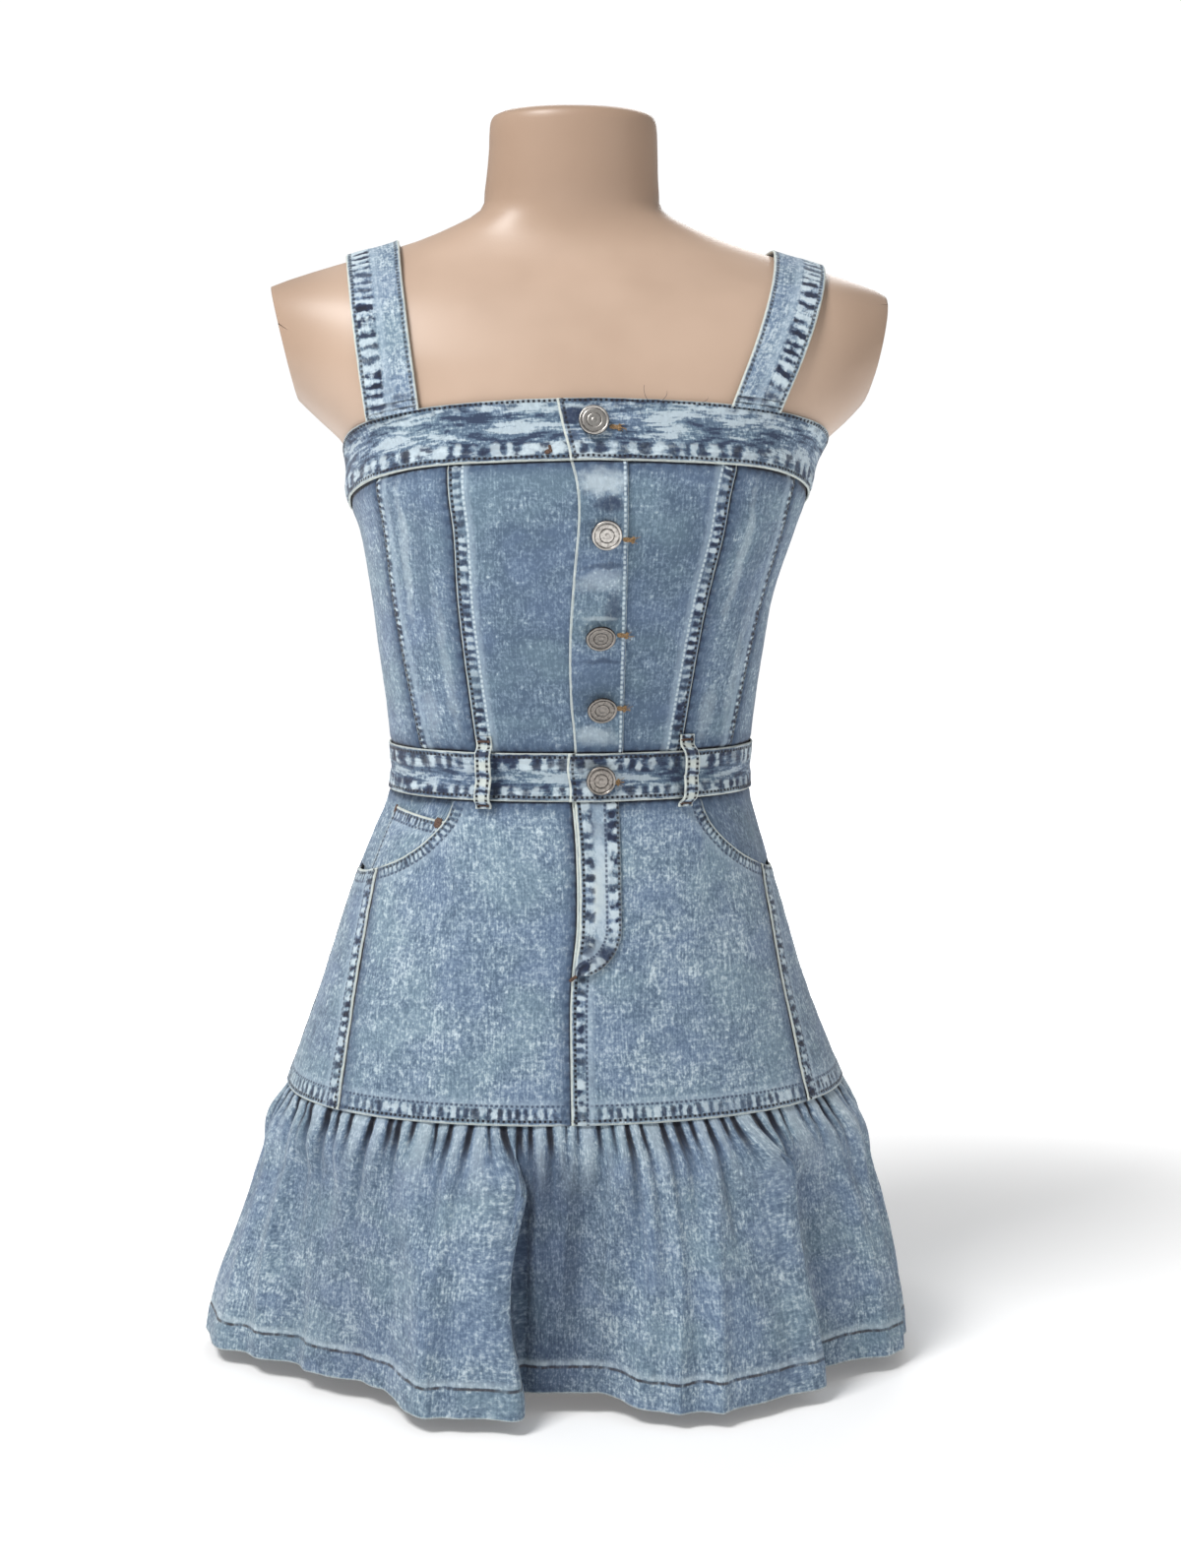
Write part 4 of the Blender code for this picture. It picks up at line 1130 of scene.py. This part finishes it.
def ruffle_drops():
    """Where the ruffle's rows lie, from the hem up to above the seam, closer in the gathers."""
    drops = [-0.012, -0.006, 0.0, 0.006, 0.012]
    drops += [0.012 + 0.0125 * k for k in range(1, 17)]
    drops += [0.212 + 0.0235 * k for k in range(1, 33)]
    drops = [drop for drop in drops if drop < 0.99] + [0.992, 0.997, 1.0]
    return drops[::-1]


def ruffle_point(angle, drop):
    """A point of the ruffle with its gathers, creases and hem, and how deep its gather is."""
    here, step = ruffle_base(angle, drop), radians(0.4)
    along = ruffle_base(angle + step, drop) - ruffle_base(angle - step, drop)
    outward = Vector((along.y, -along.x, 0)).normalized()
    deep = gather_at(angle, drop)
    size = 0.0062 * (0.35 + 0.65 * eased(drop, 0.0, 0.07))
    lift = -size * deep - 0.0016 * (1 - eased(drop, 0.0, 0.03))
    free = eased(drop, 0.0, 0.3)
    crease = noise.noise(Vector((sin(angle) * 6.2, cos(angle) * 6.2, drop * 1.1 + 4.0)))
    lift += 0.0110 * free * (0.32 - 1.2 * sqrt(crease ** 2 + 0.022))
    lift += 0.0040 * free * noise.noise(Vector((here.x * 22, here.y * 22, here.z * 6)))
    lift += 0.0026 * noise.noise(Vector((here.x * 44 + 7, here.y * 44, here.z * 9)))
    lift += 0.0009 * noise.noise(Vector((here.x * 70, here.y * 70, here.z * 50)))
    lift += 0.0003 * noise.noise(here * 160)
    below = (drop - 1) * RUFFLE_LONG + HEM_STITCH
    lift += 0.0006 * eased(below, -0.001, 0.0015) + 0.00035 * exp(-((below + 0.0022) / 0.0014) ** 2)
    lift -= 0.0003 * exp(-(below / 0.0006) ** 2)
    return here + outward * lift, deep


def fold_shade_amount(angle, drop):
    """How much painted shade a place gets in the large folds, from 0 to 1: more the further back it lies,
    and more in the two deepest in front.
    """
    degrees = in_degrees(angle)
    deepest = 0.55 * exp(-(((degrees + 10.5) / 9) ** 2)) + 0.25 * exp(-(((degrees - 50) / 6) ** 2))
    return min(max(-fold_reach(angle) / 0.027, 0), 1) * (0.45 + deepest) * eased(drop, -0.02, 0.16)


def ruffle():
    drops = ruffle_drops()
    for word, start, seed in (("front", -pi / 2, 111.0), ("back", pi / 2, 131.0)):
        name = f"ruffle_{word}"
        bm = bmesh.new()
        grid = cloth_grid(bm, RUFFLE_COLUMNS + 1, len(drops))
        maps = {"cloth": {}, "gather": {}, "recess": {}}
        for line, drop in zip(grid, drops):
            for column, corner in enumerate(line):
                angle = start + pi * column / RUFFLE_COLUMNS
                corner.co, deep = ruffle_point(angle, drop)
                maps["cloth"][corner] = (RUFFLE_WIDE * column / RUFFLE_COLUMNS, (1 - drop) * RUFFLE_LONG)
                maps["gather"][corner] = (deep, drop)
                maps["recess"][corner] = (fold_shade_amount(angle, drop), drop)
        layers = [(bm.loops.layers.uv.new(key), values) for key, values in maps.items()]
        for face in bm.faces:
            for loop in face.loops:
                for layer, values in layers:
                    loop[layer].uv = values[loop.vert]
        area = sum(face.calc_area() for face in bm.faces)
        hang(name, bm, ruffle_denim(name, seed), RUFFLE_WALL, *runs(grid), area, "gathered",
             [f"skirt_{word}_right", f"skirt_{word}_left"])


def ruffle_denim(name, seed):
    def looks(kit, colour, high, u, v):
        """Painted shade in the large folds and in the gathers' valleys, painted shadows in the gathers'
        slots near the seam, rubbed ridges, and a stitched hem with a worn lip.
        """
        deep, drop = kit.mapped("gather")
        sunk, _ = kit.mapped("recess")
        ragged = kit.speckle(u * 130.0, v * 60.0, seed + 3.0, 2.0)
        # Painted shade in the large folds' recesses.
        colour = sunk.rise(0.10, 0.90).mix(colour, tone(176, 180, 190), "MULTIPLY")
        ridge = (1.0 - deep.rise(0.02, 0.30)) * (1.0 - drop.rise(0.0, 0.30))
        colour = (ridge * 0.38).mix(colour, PALE)
        # Painted shade in the gathers' valleys near the seam.
        low = deep.rise(0.20, 0.75) * (1.0 - drop.rise(0.10, 0.60)) * 0.60
        colour = low.mix(colour, DEEP)
        # Painted shadows in the gathers' slots and, near-black, in their pits by the seam.
        slot_shadow = (deep + (ragged - 0.5) * 0.4).rise(0.30, 0.70) * (1.0 - drop.rise(0.02, 0.22))
        colour = (slot_shadow * 0.80).mix(colour, NAVY)
        pit_shadow = (deep + (ragged - 0.5) * 0.3).rise(0.30, 0.62)
        pit_shadow = pit_shadow * (1.0 - (drop + (ragged - 0.5) * 0.05).rise(0.04, 0.13))
        colour = (pit_shadow * 0.95).mix(colour, INK)
        at = v + (ragged - 0.5) * 0.0016
        line = 1.0 - at.off(HEM_STITCH).rise(0.0004, 0.0013)
        broken = kit.speckle(u * 160.0, v * 10.0, seed + 8.0, 2.0).rise(0.32, 0.58, 0.35, 1.0)
        colour = (line * broken * 0.85).mix(colour, tone(52, 44, 46))
        crest = at.rise(0.0182, 0.0192) * (1.0 - at.rise(0.0200, 0.0240))
        colour = (crest * (ragged * 1.0 - 0.15)).mix(colour, PALE)
        lip = 1.0 - at.rise(0.0004, 0.0012)
        colour = (lip * ragged).mix(colour, CREAM)
        return colour, high - line * 0.5

    return denim(name, (), seed=seed, extra=looks)


# ---- form ----
def form_heights():
    heights = [0.0, 0.0012]
    z = 0.008
    while z < 0.795:
        heights.append(z)
        z += 0.0070 if z < 0.56 or z > 0.75 else 0.0050
    return heights + [0.7985, 0.8010, 0.8032, 0.8047, 0.8058, 0.8064, 0.8068]


def open_edges(bm):
    return [edge for edge in bm.edges if edge.is_boundary]


def cut_shoulder(bm, x, side):
    """Cuts the form flat at a tilted plane and rounds the cut's rim."""
    geometry = bm.verts[:] + bm.edges[:] + bm.faces[:]
    aim = (side * cos(STUB_TILT), 0, -sin(STUB_TILT))
    bmesh.ops.bisect_plane(bm, geom=geometry, plane_co=(x, 0, STUB_Z), plane_no=aim, clear_outer=True)
    cap = bmesh.ops.holes_fill(bm, edges=open_edges(bm), sides=0)["faces"]
    rim = list({corner for face in cap for corner in face.verts})
    bmesh.ops.remove_doubles(bm, verts=rim, dist=0.0011)
    cap = [face for face in bm.faces if len(face.verts) > 8 and side * face.calc_center_median().x > 0.12]
    rim = list({edge for face in cap for edge in face.edges})
    bmesh.ops.bevel(bm, geom=rim, offset=0.0009, offset_type="OFFSET", segments=3, profile=0.5,
                    affect="EDGES", material=-1)


def dress_form():
    """The torso, neck and shoulders, smooth, with the shoulders cut flat a little way out."""
    heights = form_heights()
    bm = bmesh.new()
    bmesh.ops.create_grid(bm, x_segments=112, y_segments=len(heights) - 1, size=0.5)
    for corner in bm.verts:
        turn = (corner.co.x + 0.5) * 2 * pi
        z = heights[round((corner.co.y + 0.5) * (len(heights) - 1))]
        x, y = oval_point(row_at(BODY, z), turn + 0.18 * sin(2 * turn))
        corner.co = (x, y, z)
    bmesh.ops.remove_doubles(bm, verts=bm.verts[:], dist=0.00002)
    bmesh.ops.holes_fill(bm, edges=open_edges(bm), sides=0)
    for x, side in STUBS:
        cut_shoulder(bm, x, side)
    bmesh.ops.recalc_face_normals(bm, faces=bm.faces[:])
    surface = BVHTree.FromBMesh(bm)
    piece = add_piece("dress_form_body", bm, form_skin(), "dress_form", smooth=35)
    return surface


def form_skin():
    """Smooth painted plastic, with painted shade that makes the neck and the shoulders darker and browner.
    """
    made, shader, kit = begin("form_skin", 0.42)
    place = kit.place()
    cloudy, pores = kit.grain(place, 9.0, 3.0), kit.grain(place, 900.0, 2.0)
    colour = cloudy.rise(0.35, 0.65).mix(tone(183, 157, 137), tone(194, 168, 148))
    across, _, height = place.split()
    # Painted shade on the neck and on both shoulders.
    neck_shoulder_shade = height.rise(0.715, 0.765, 0.0, 0.62) + across.off(0.0).rise(0.135, 0.185, 0.0, 0.55)
    colour = neck_shoulder_shade.mix(colour, tone(152, 126, 106))
    kit.feed(shader.inputs["Base Color"], colour)
    kit.feed(shader.inputs["Roughness"], 0.34 + cloudy * 0.12)
    kit.feed(shader.inputs["Normal"], kit.bump(pores, 0.0001, 0.35))
    shader.inputs["Specular IOR Level"].default_value = 0.45
    return made


# ---- straps, loops ----
def strap(name, surface):
    """A strap over the shoulder: rays turned about a point inside it find the form's surface."""
    x_front, x_top, x_back = STRAPS[name]

    def centre_x(turn):
        if turn < pi / 2:
            return x_front + (x_top - x_front) * max(sin(turn), 0)
        share = min((turn - pi / 2) / (pi / 2), 1)
        return x_top + (x_back - x_top) * (1 - cos(pi * share)) / 2

    def at(turn, across, out):
        reach = 0
        for nod in (-STRAP_NEAR, 0, STRAP_NEAR):
            for shift in (-STRAP_WIDTH / 6, 0, STRAP_WIDTH / 6):
                ray = Vector((0, -cos(turn + nod), sin(turn + nod)))
                start = Vector((centre_x(turn) + across + shift, 0, STRAP_CENTRE))
                reach = max(reach, (surface.ray_cast(start, ray)[0] - start).length)
        start = Vector((centre_x(turn) + across, 0, STRAP_CENTRE))
        return start + Vector((0, -cos(turn), sin(turn))) * (reach + SEAM + out)

    def end_turn(across, first, last):
        for _ in range(24):
            middle = (first + last) / 2
            hit = at(middle, across, DOUBLE)
            if hit.z > band_top(atan2(hit.x - dress_section(hit.z)[4], -hit.y)) - 0.0010:
                last = middle
            else:
                first = middle
        return last

    turns = {}

    def place(across, up):
        aside = STRAP_WIDTH * (across - 0.5)
        if across not in turns:
            front = end_turn(aside, radians(-12), radians(60))
            turns[across] = front, end_turn(aside, radians(220), radians(120))
        start, end = turns[across]
        return at(start + (end - start) * up, aside, DOUBLE)

    on_left = name.endswith("left")
    outer, inner = ("right", "left") if on_left else ("left", "right")
    edges = [(outer, "strap_outer"), (inner, "piped")]
    seed = 141.0 if on_left else 143.0
    made = denim(name, edges, shade=-0.20, seed=seed, extra=strap_looks)
    columns, rows = shares(STRAP_WIDTH, 0.0019), shares(0.33, 0.0026)
    cloth(name, columns, rows, place, made, edges, STRAP_WALL, 0.0003, seed)


def strap_looks(kit, colour, high, u, v):
    """Dark where the strap is stitched down behind the band."""
    marks = (
        (-0.005, 0.0050, 0.0100, 0.0024, 0.90, NAVY),
        (0.008, 0.0100, 0.0060, 0.0030, 0.60, NAVY),
        (0.000, 0.0160, 0.0050, 0.0020, 0.35, NAVY),
    )
    colour = blots_and_painted_light(kit, colour, u, v, marks, 63.0)
    ragged = kit.speckle(u * 300.0, v * 300.0, 8.8, 1.0)
    for at in (0.0028, 0.0068):
        line = 1.0 - (v + (ragged - 0.5) * 0.0010).off(at).rise(0.0003, 0.0009)
        colour = (line * (ragged * 0.8 + 0.3)).mix(colour, INK)
    return colour, high


def belt_loop(name):
    """A folded strip that stands over the waistband and is tacked down above and below it."""
    x, on_back = LOOPS[name]
    angle = angle_at(x, WAIST, on_back)
    normal = (on_dress(angle, WAIST, 0.01) - on_dress(angle, WAIST)).normalized()
    aside = Vector((-normal.y, normal.x, 0))
    heights = [z for z, _ in LOOP_PROFILE]

    def place(across, up):
        z = heights[0] + (heights[-1] - heights[0]) * up
        out = row_at(LOOP_PROFILE, z)[0] + LOOP_CLOTH
        lean = 0.0022 * sin(pi * up) if name == "belt_loop_front_left" else 0.0
        middle = on_dress(angle, z, out)
        return middle + aside * (LOOP_WIDTH * (across - 0.5) + lean)

    edges = [("left", "loop"), ("right", "loop")]
    made = denim(name, edges, shade=-0.30, seed=150.0 + 10 * x, extra=loop_looks)
    waistband = "waistband_right" if name.endswith("right") else "waistband_left"
    cloth(name, shares(LOOP_WIDTH, 0.0010), shares(0.054, 0.0011), place, made, edges, LOOP_WALL, 0.0002,
          150.0, rests_on=(waistband,))


def loop_looks(kit, colour, high, u, v):
    """Pale worn blocks down the loop with dark gaps between them."""
    ragged = kit.speckle(u * 90.0, v * 60.0, 4.4, 2.0)
    wave = (v * 560.0 + ragged * 6.0).sine()
    colour = (wave.rise(-0.4, 0.5) * 0.80).mix(colour, CREAM)
    colour = ((1.0 - wave.rise(-0.95, -0.60)) * 0.95).mix(colour, NAVY)
    return colour, high


# ---- buttons ----
BUTTON_PROFILE = (
    # radius, height over the cloth
    (0.0000, 0.0000), (0.0030, 0.0000), (0.0034, 0.0003), (0.0030, 0.0012), (0.0030, 0.0020),
    (0.0050, 0.0022), (0.0084, 0.0023), (0.0090, 0.0027), (0.0093, 0.0033), (0.0092, 0.0039),
    (0.0089, 0.0044), (0.0084, 0.0046), (0.0080, 0.0044), (0.0077, 0.0040), (0.0074, 0.0039),
    (0.0070, 0.0041), (0.0064, 0.0042), (0.0058, 0.0042), (0.0052, 0.0042), (0.0048, 0.0042),
    (0.0045, 0.0040), (0.0042, 0.0040), (0.0039, 0.0042), (0.0034, 0.0042), (0.0028, 0.0042),
    (0.0021, 0.0042), (0.0017, 0.0041), (0.0013, 0.0043), (0.0007, 0.0044), (0.0000, 0.0044),
)
SHADED_TILT = 10  # buttons that hang over further than this get the darker copy of the silver: painted shade
BAND_BUTTONS = ("button_1", "button_5")  # these sit on the lapped ends of the bands


def button_metal(name, pale, dark):
    """Old silver, dull in its recesses and on the outside of its rim."""
    made, shader, kit = begin(name, 0.34, 1.0)
    radius, height = kit.mapped("ring")
    rub = kit.grain(kit.place(), 700.0, 3.0)
    recess = 1.0 - height.rise(0.0038, 0.0042)
    disc = 1.0 - radius.rise(0.0068, 0.0074)
    rim = radius.rise(0.0085, 0.0092)
    dull = (recess * 0.90 + rim * 0.45 + disc * 0.25 + (rub - 0.5) * 1.2).rise(0.05, 0.95)
    kit.feed(shader.inputs["Base Color"], dull.mix(pale, dark))
    kit.feed(shader.inputs["Roughness"], 0.34 + dull * 0.26)
    kit.feed(shader.inputs["Normal"], kit.bump(rub, 0.0001, 0.5))
    return made


def cover_at(name, angle, z):
    """Height of the cloth that a button and its hole sit on, over the panels."""
    return lapped(angle, z) if name in BAND_BUTTONS else LAID + CLOTH


def buttons():
    bright = button_metal("antique_silver", tone(190, 186, 181), tone(64, 60, 58))
    # A darker copy of the silver for buttons that tilt down: painted shade.
    shaded_silver = button_metal("antique_silver_shaded", tone(150, 144, 138), tone(46, 41, 39))
    for name, (x, z, tilt) in BUTTONS.items():
        bm = bmesh.new()
        points = [bm.verts.new((radius, 0, height)) for radius, height in BUTTON_PROFILE]
        edges = [bm.edges.new(pair) for pair in zip(points, points[1:])]
        bmesh.ops.spin(bm, geom=points + edges, cent=(0, 0, 0), axis=(0, 0, 1), angle=2 * pi, steps=56,
                       use_merge=True)
        bmesh.ops.remove_doubles(bm, verts=bm.verts[:], dist=0.00002)
        bmesh.ops.recalc_face_normals(bm, faces=bm.faces[:])
        layer = bm.loops.layers.uv.new("ring")
        for face in bm.faces:
            for loop in face.loops:
                loop[layer].uv = (loop.vert.co.xy.length, loop.vert.co.z)
        angle = angle_at(x, z)
        lift = cover_at(name, angle, z) + SEAM + 0.0034 * sin(radians(tilt)) + 0.0002
        normal = facing_at(angle, z)
        foot = on_dress(angle, z) + normal * lift
        facing = normal.to_track_quat("Z", "Y").to_matrix().to_4x4()
        turned = Matrix.Translation(foot) @ Matrix.Rotation(radians(tilt), 4, "X") @ facing
        bmesh.ops.transform(bm, matrix=turned, verts=bm.verts[:])
        piece = add_piece(name + "_metal", bm, bright if tilt < SHADED_TILT else shaded_silver, name, smooth=50)


# ---- thread ----
HOLES = {
    # name of the button: x and z of the thread that shows past it
    "button_1": (0.0186, 0.6062),
    "button_2": (0.0258, 0.5385),
    "button_3": (0.0236, 0.4800),
    "button_4": (0.0238, 0.4340),
    "button_5": (0.0206, 0.3874),
}
TACK_PROUD = 0.0006  # a buttonhole's thread over the cloth


def thread(name, hue):
    made, shader, kit = begin(name, 0.82)
    fibre = kit.grain(kit.place(), 1500.0, 3.0)
    dark = tuple(part * 0.50 for part in hue[:3]) + (1.0,)
    kit.feed(shader.inputs["Base Color"], fibre.rise(0.36, 0.60).mix(dark, hue))
    kit.feed(shader.inputs["Normal"], kit.bump(fibre, 0.0003))
    return made


def thread_place(angle, z, out):
    """A place on the dress with its own directions: across, upwards and outwards."""
    normal = facing_at(angle, z)
    up = (Vector((0, 0, 1)) - normal * normal.z).normalized()
    return on_dress(angle, z, out), up.cross(normal), up, normal


def bar_tack(bm, place, wide, tall, turned=0.0, thick=0.0007):
    """A pad of thread that is sewn over itself."""
    middle, across, up, normal = place
    turn = Matrix.Rotation(radians(turned), 3, normal)
    across, up = turn @ across, turn @ up
    for corner in bmesh.ops.create_uvsphere(bm, u_segments=24, v_segments=12, radius=1.0)["verts"]:
        p, q, r = (copysign(abs(share) ** 0.6, share) for share in corner.co)
        aside, above = wide * p, tall * q * (1 + 0.10 * sin(p * 11))
        out = r * thick * (1 + 0.35 * sin(p * wide * 9000))
        corner.co = middle + across * aside + up * above + normal * out


def strand(bm, points, radius=0.00016):
    """One thin thread through its points."""
    turned = (points[1] - points[0]).to_track_quat("Z", "Y").to_matrix().to_4x4()
    ring = bmesh.ops.create_circle(bm, segments=6, radius=radius)["verts"]
    bmesh.ops.transform(bm, matrix=Matrix.Translation(points[0]) @ turned, verts=ring)
    first = edges = list({edge for corner in ring for edge in corner.link_edges})
    for before, after in zip(points, points[1:]):
        grown = bmesh.ops.extrude_edge_only(bm, edges=edges)["geom"]
        ring = [part for part in grown if isinstance(part, bmesh.types.BMVert)]
        edges = [part for part in grown if isinstance(part, bmesh.types.BMEdge)]
        bmesh.ops.translate(bm, vec=after - before, verts=ring)
    bmesh.ops.holes_fill(bm, edges=first + edges, sides=0)


def frayed(bm, place, wide, count, salt):
    """Thread ends that stick out of a tack."""
    middle, across, up, normal = place
    for k in range(count):
        lean, far = 2 * chance(k, salt) - 1, 0.7 + 0.8 * chance(k, salt + 1)
        start = middle + across * (wide * 0.4) + up * (0.0010 * lean) + normal * 0.0002
        points = []
        for step in range(6):
            t = step / 5
            out = normal * (0.0009 * sin(pi * min(t * 1.1, 1)))
            points.append(start + across * (wide * far * t) + up * (0.0022 * lean * t * t) + out)
        strand(bm, points)


def buttonhole_threads():
    """A worn bar across each hole's end, a small one beside it, and its loose ends."""
    bm = bmesh.new()
    for k, (name, (x, z)) in enumerate(HOLES.items()):
        angle = angle_at(x, z)
        out = cover_at(name, angle, z) + TACK_PROUD
        place = thread_place(angle, z, out)
        bar_tack(bm, place, 0.0032, 0.0014, -6)
        bar_tack(bm, thread_place(angle + 0.026, z - 0.0002, out), 0.0010, 0.0022, -10)
        frayed(bm, place, 0.0042, 5, 20 + k)
    finish_threads("buttonhole_threads", bm, thread("rust_thread", RUST))


def bar_tacks():
    """Two on each belt loop, two on the coin pocket, one at the fly's end and two under the band."""
    bm = bmesh.new()
    for x, on_back in LOOPS.values():
        angle = angle_at(x, WAIST, on_back)
        for z in (0.3727, 0.4128):
            out = row_at(LOOP_PROFILE, z)[0] + LOOP_CLOTH
            bar_tack(bm, thread_place(angle, z, out), 0.0044, 0.0008)
    for angle, z, out, wide, tall, turned in (
        (radians(-52.4), 0.3598, -COIN_DEPTH, 0.0028, 0.0034, 0),
        (radians(-75.6), 0.3642, -COIN_DEPTH, 0.0008, 0.0030, 0),
        (angle_at(-0.0072, 0.2690), 0.2690, LAID + CLOTH, 0.0028, 0.0011, 35),
        (angle_at(-0.0215, 0.5915), 0.5915, BAND_PROUD, 0.0024, 0.0014, 25),
        (angle_at(-0.0206, 0.5938), 0.5938, BAND_PROUD, 0.0009, 0.0018, 10),
    ):
        bar_tack(bm, thread_place(angle, z, out + 0.0002), wide, tall, turned)
    finish_threads("bar_tacks", bm, thread("brown_thread", tone(108, 84, 72)))


def loose_threads():
    """Three ends that stand up from the left top band."""
    bm = bmesh.new()
    for x, lean, far in ((0.0395, -0.004, 0.009), (0.0480, 0.005, 0.006), (0.0720, 0.007, 0.004)):
        z = band_top(angle_at(x, 0.62)) - 0.0008
        start = on_dress(angle_at(x, z), z, BAND_PROUD)
        points = []
        for t in (0, 0.2, 0.4, 0.6, 0.8, 1):
            points.append(start + Vector((lean * t * (1.6 - t), -0.002 * t, far * t)))
        strand(bm, points, 0.00013)
    finish_threads("loose_threads", bm, thread("navy_thread", tone(70, 74, 88)))


def finish_threads(name, bm, made):
    bmesh.ops.remove_doubles(bm, verts=bm.verts[:], dist=0.00001)
    bmesh.ops.recalc_face_normals(bm, faces=bm.faces[:])
    add_piece(name, bm, made)


# ---- stage ----
def floor_sheet():
    """A wide pale floor that glows a little more the further it is from the form."""
    bm = bmesh.new()
    bmesh.ops.create_grid(bm, x_segments=8, y_segments=8, size=4.0)
    mesh = bpy.data.meshes.new("floor")
    bm.to_mesh(mesh)
    bm.free()
    made, shader, kit = begin("pale_floor", 0.9)
    shader.inputs["Base Color"].default_value = tone(248, 248, 248)
    shader.inputs["Specular IOR Level"].default_value = 0.1
    far = kit.node("ShaderNodeVectorMath", {0: kit.place()}, 1, operation="LENGTH")
    glow = far.rise(0.30, 1.40, 0.16, 0.85)
    kit.feed(shader.inputs["Emission Color"], glow.mix((0, 0, 0, 1), (1, 1, 1, 1)))
    shader.inputs["Emission Strength"].default_value = 1.0
    mesh.materials.append(made)
    sheet = bpy.data.objects.new("floor", mesh)
    bpy.context.scene.collection.objects.link(sheet)


def studio():
    """White all round for the camera, and dimmer as a light."""
    world = bpy.data.worlds.new("studio")
    bpy.context.scene.world = world
    world.use_nodes = True
    back = world.node_tree.nodes["Background"]
    back.inputs["Color"].default_value = (1.0, 1.0, 1.0, 1)
    kit = Shade(world.node_tree)
    seen = kit.node("ShaderNodeLightPath")
    kit.feed(back.inputs["Strength"], 0.33 + seen * 0.69)


def lights():
    for name, at, aim, size, power in (
        ("key", (-1.4, -1.25, 2.9), (0, 0, 0.38), 1.0, 82),
        ("fill", (1.9, -1.8, 0.9), (0, 0, 0.40), 1.6, 2),
        ("back", (0.5, 2.4, 1.9), (0, 0, 0.40), 1.4, 22),
    ):
        light = bpy.data.lights.new(name, "AREA")
        light.size, light.energy = size, power
        lamp = bpy.data.objects.new(name, light)
        bpy.context.scene.collection.objects.link(lamp)
        lamp.location = at
        lamp.rotation_euler = (Vector(aim) - Vector(at)).to_track_quat("-Z", "Y").to_euler()


def camera():
    """A long lens a little to the wearer's right of the front, looking slightly down."""
    rolled, away, high, tilt, reach = radians(-4), 1.6, 0.5671, radians(6.82), 2479.08
    lens = bpy.data.cameras.new("camera")
    lens.sensor_width, lens.lens = 36, reach / 1593 * 36
    view = bpy.data.objects.new("camera", lens)
    bpy.context.scene.collection.objects.link(view)
    view.location = (away * sin(rolled), -away * cos(rolled), high)
    view.rotation_euler = (radians(90) - tilt, 0, rolled - atan(20 / reach))
    bpy.context.scene.camera = view


def main():
    bpy.context.scene.view_settings.view_transform = "Standard"
    floor_sheet()
    studio()
    lights()
    camera()
    surface = dress_form()
    bodice()
    bands()
    skirt()
    ruffle()
    for name in STRAPS:
        strap(name, surface)
    for name in LOOPS:
        belt_loop(name)
    buttons()
    buttonhole_threads()
    bar_tacks()
    loose_threads()


main()
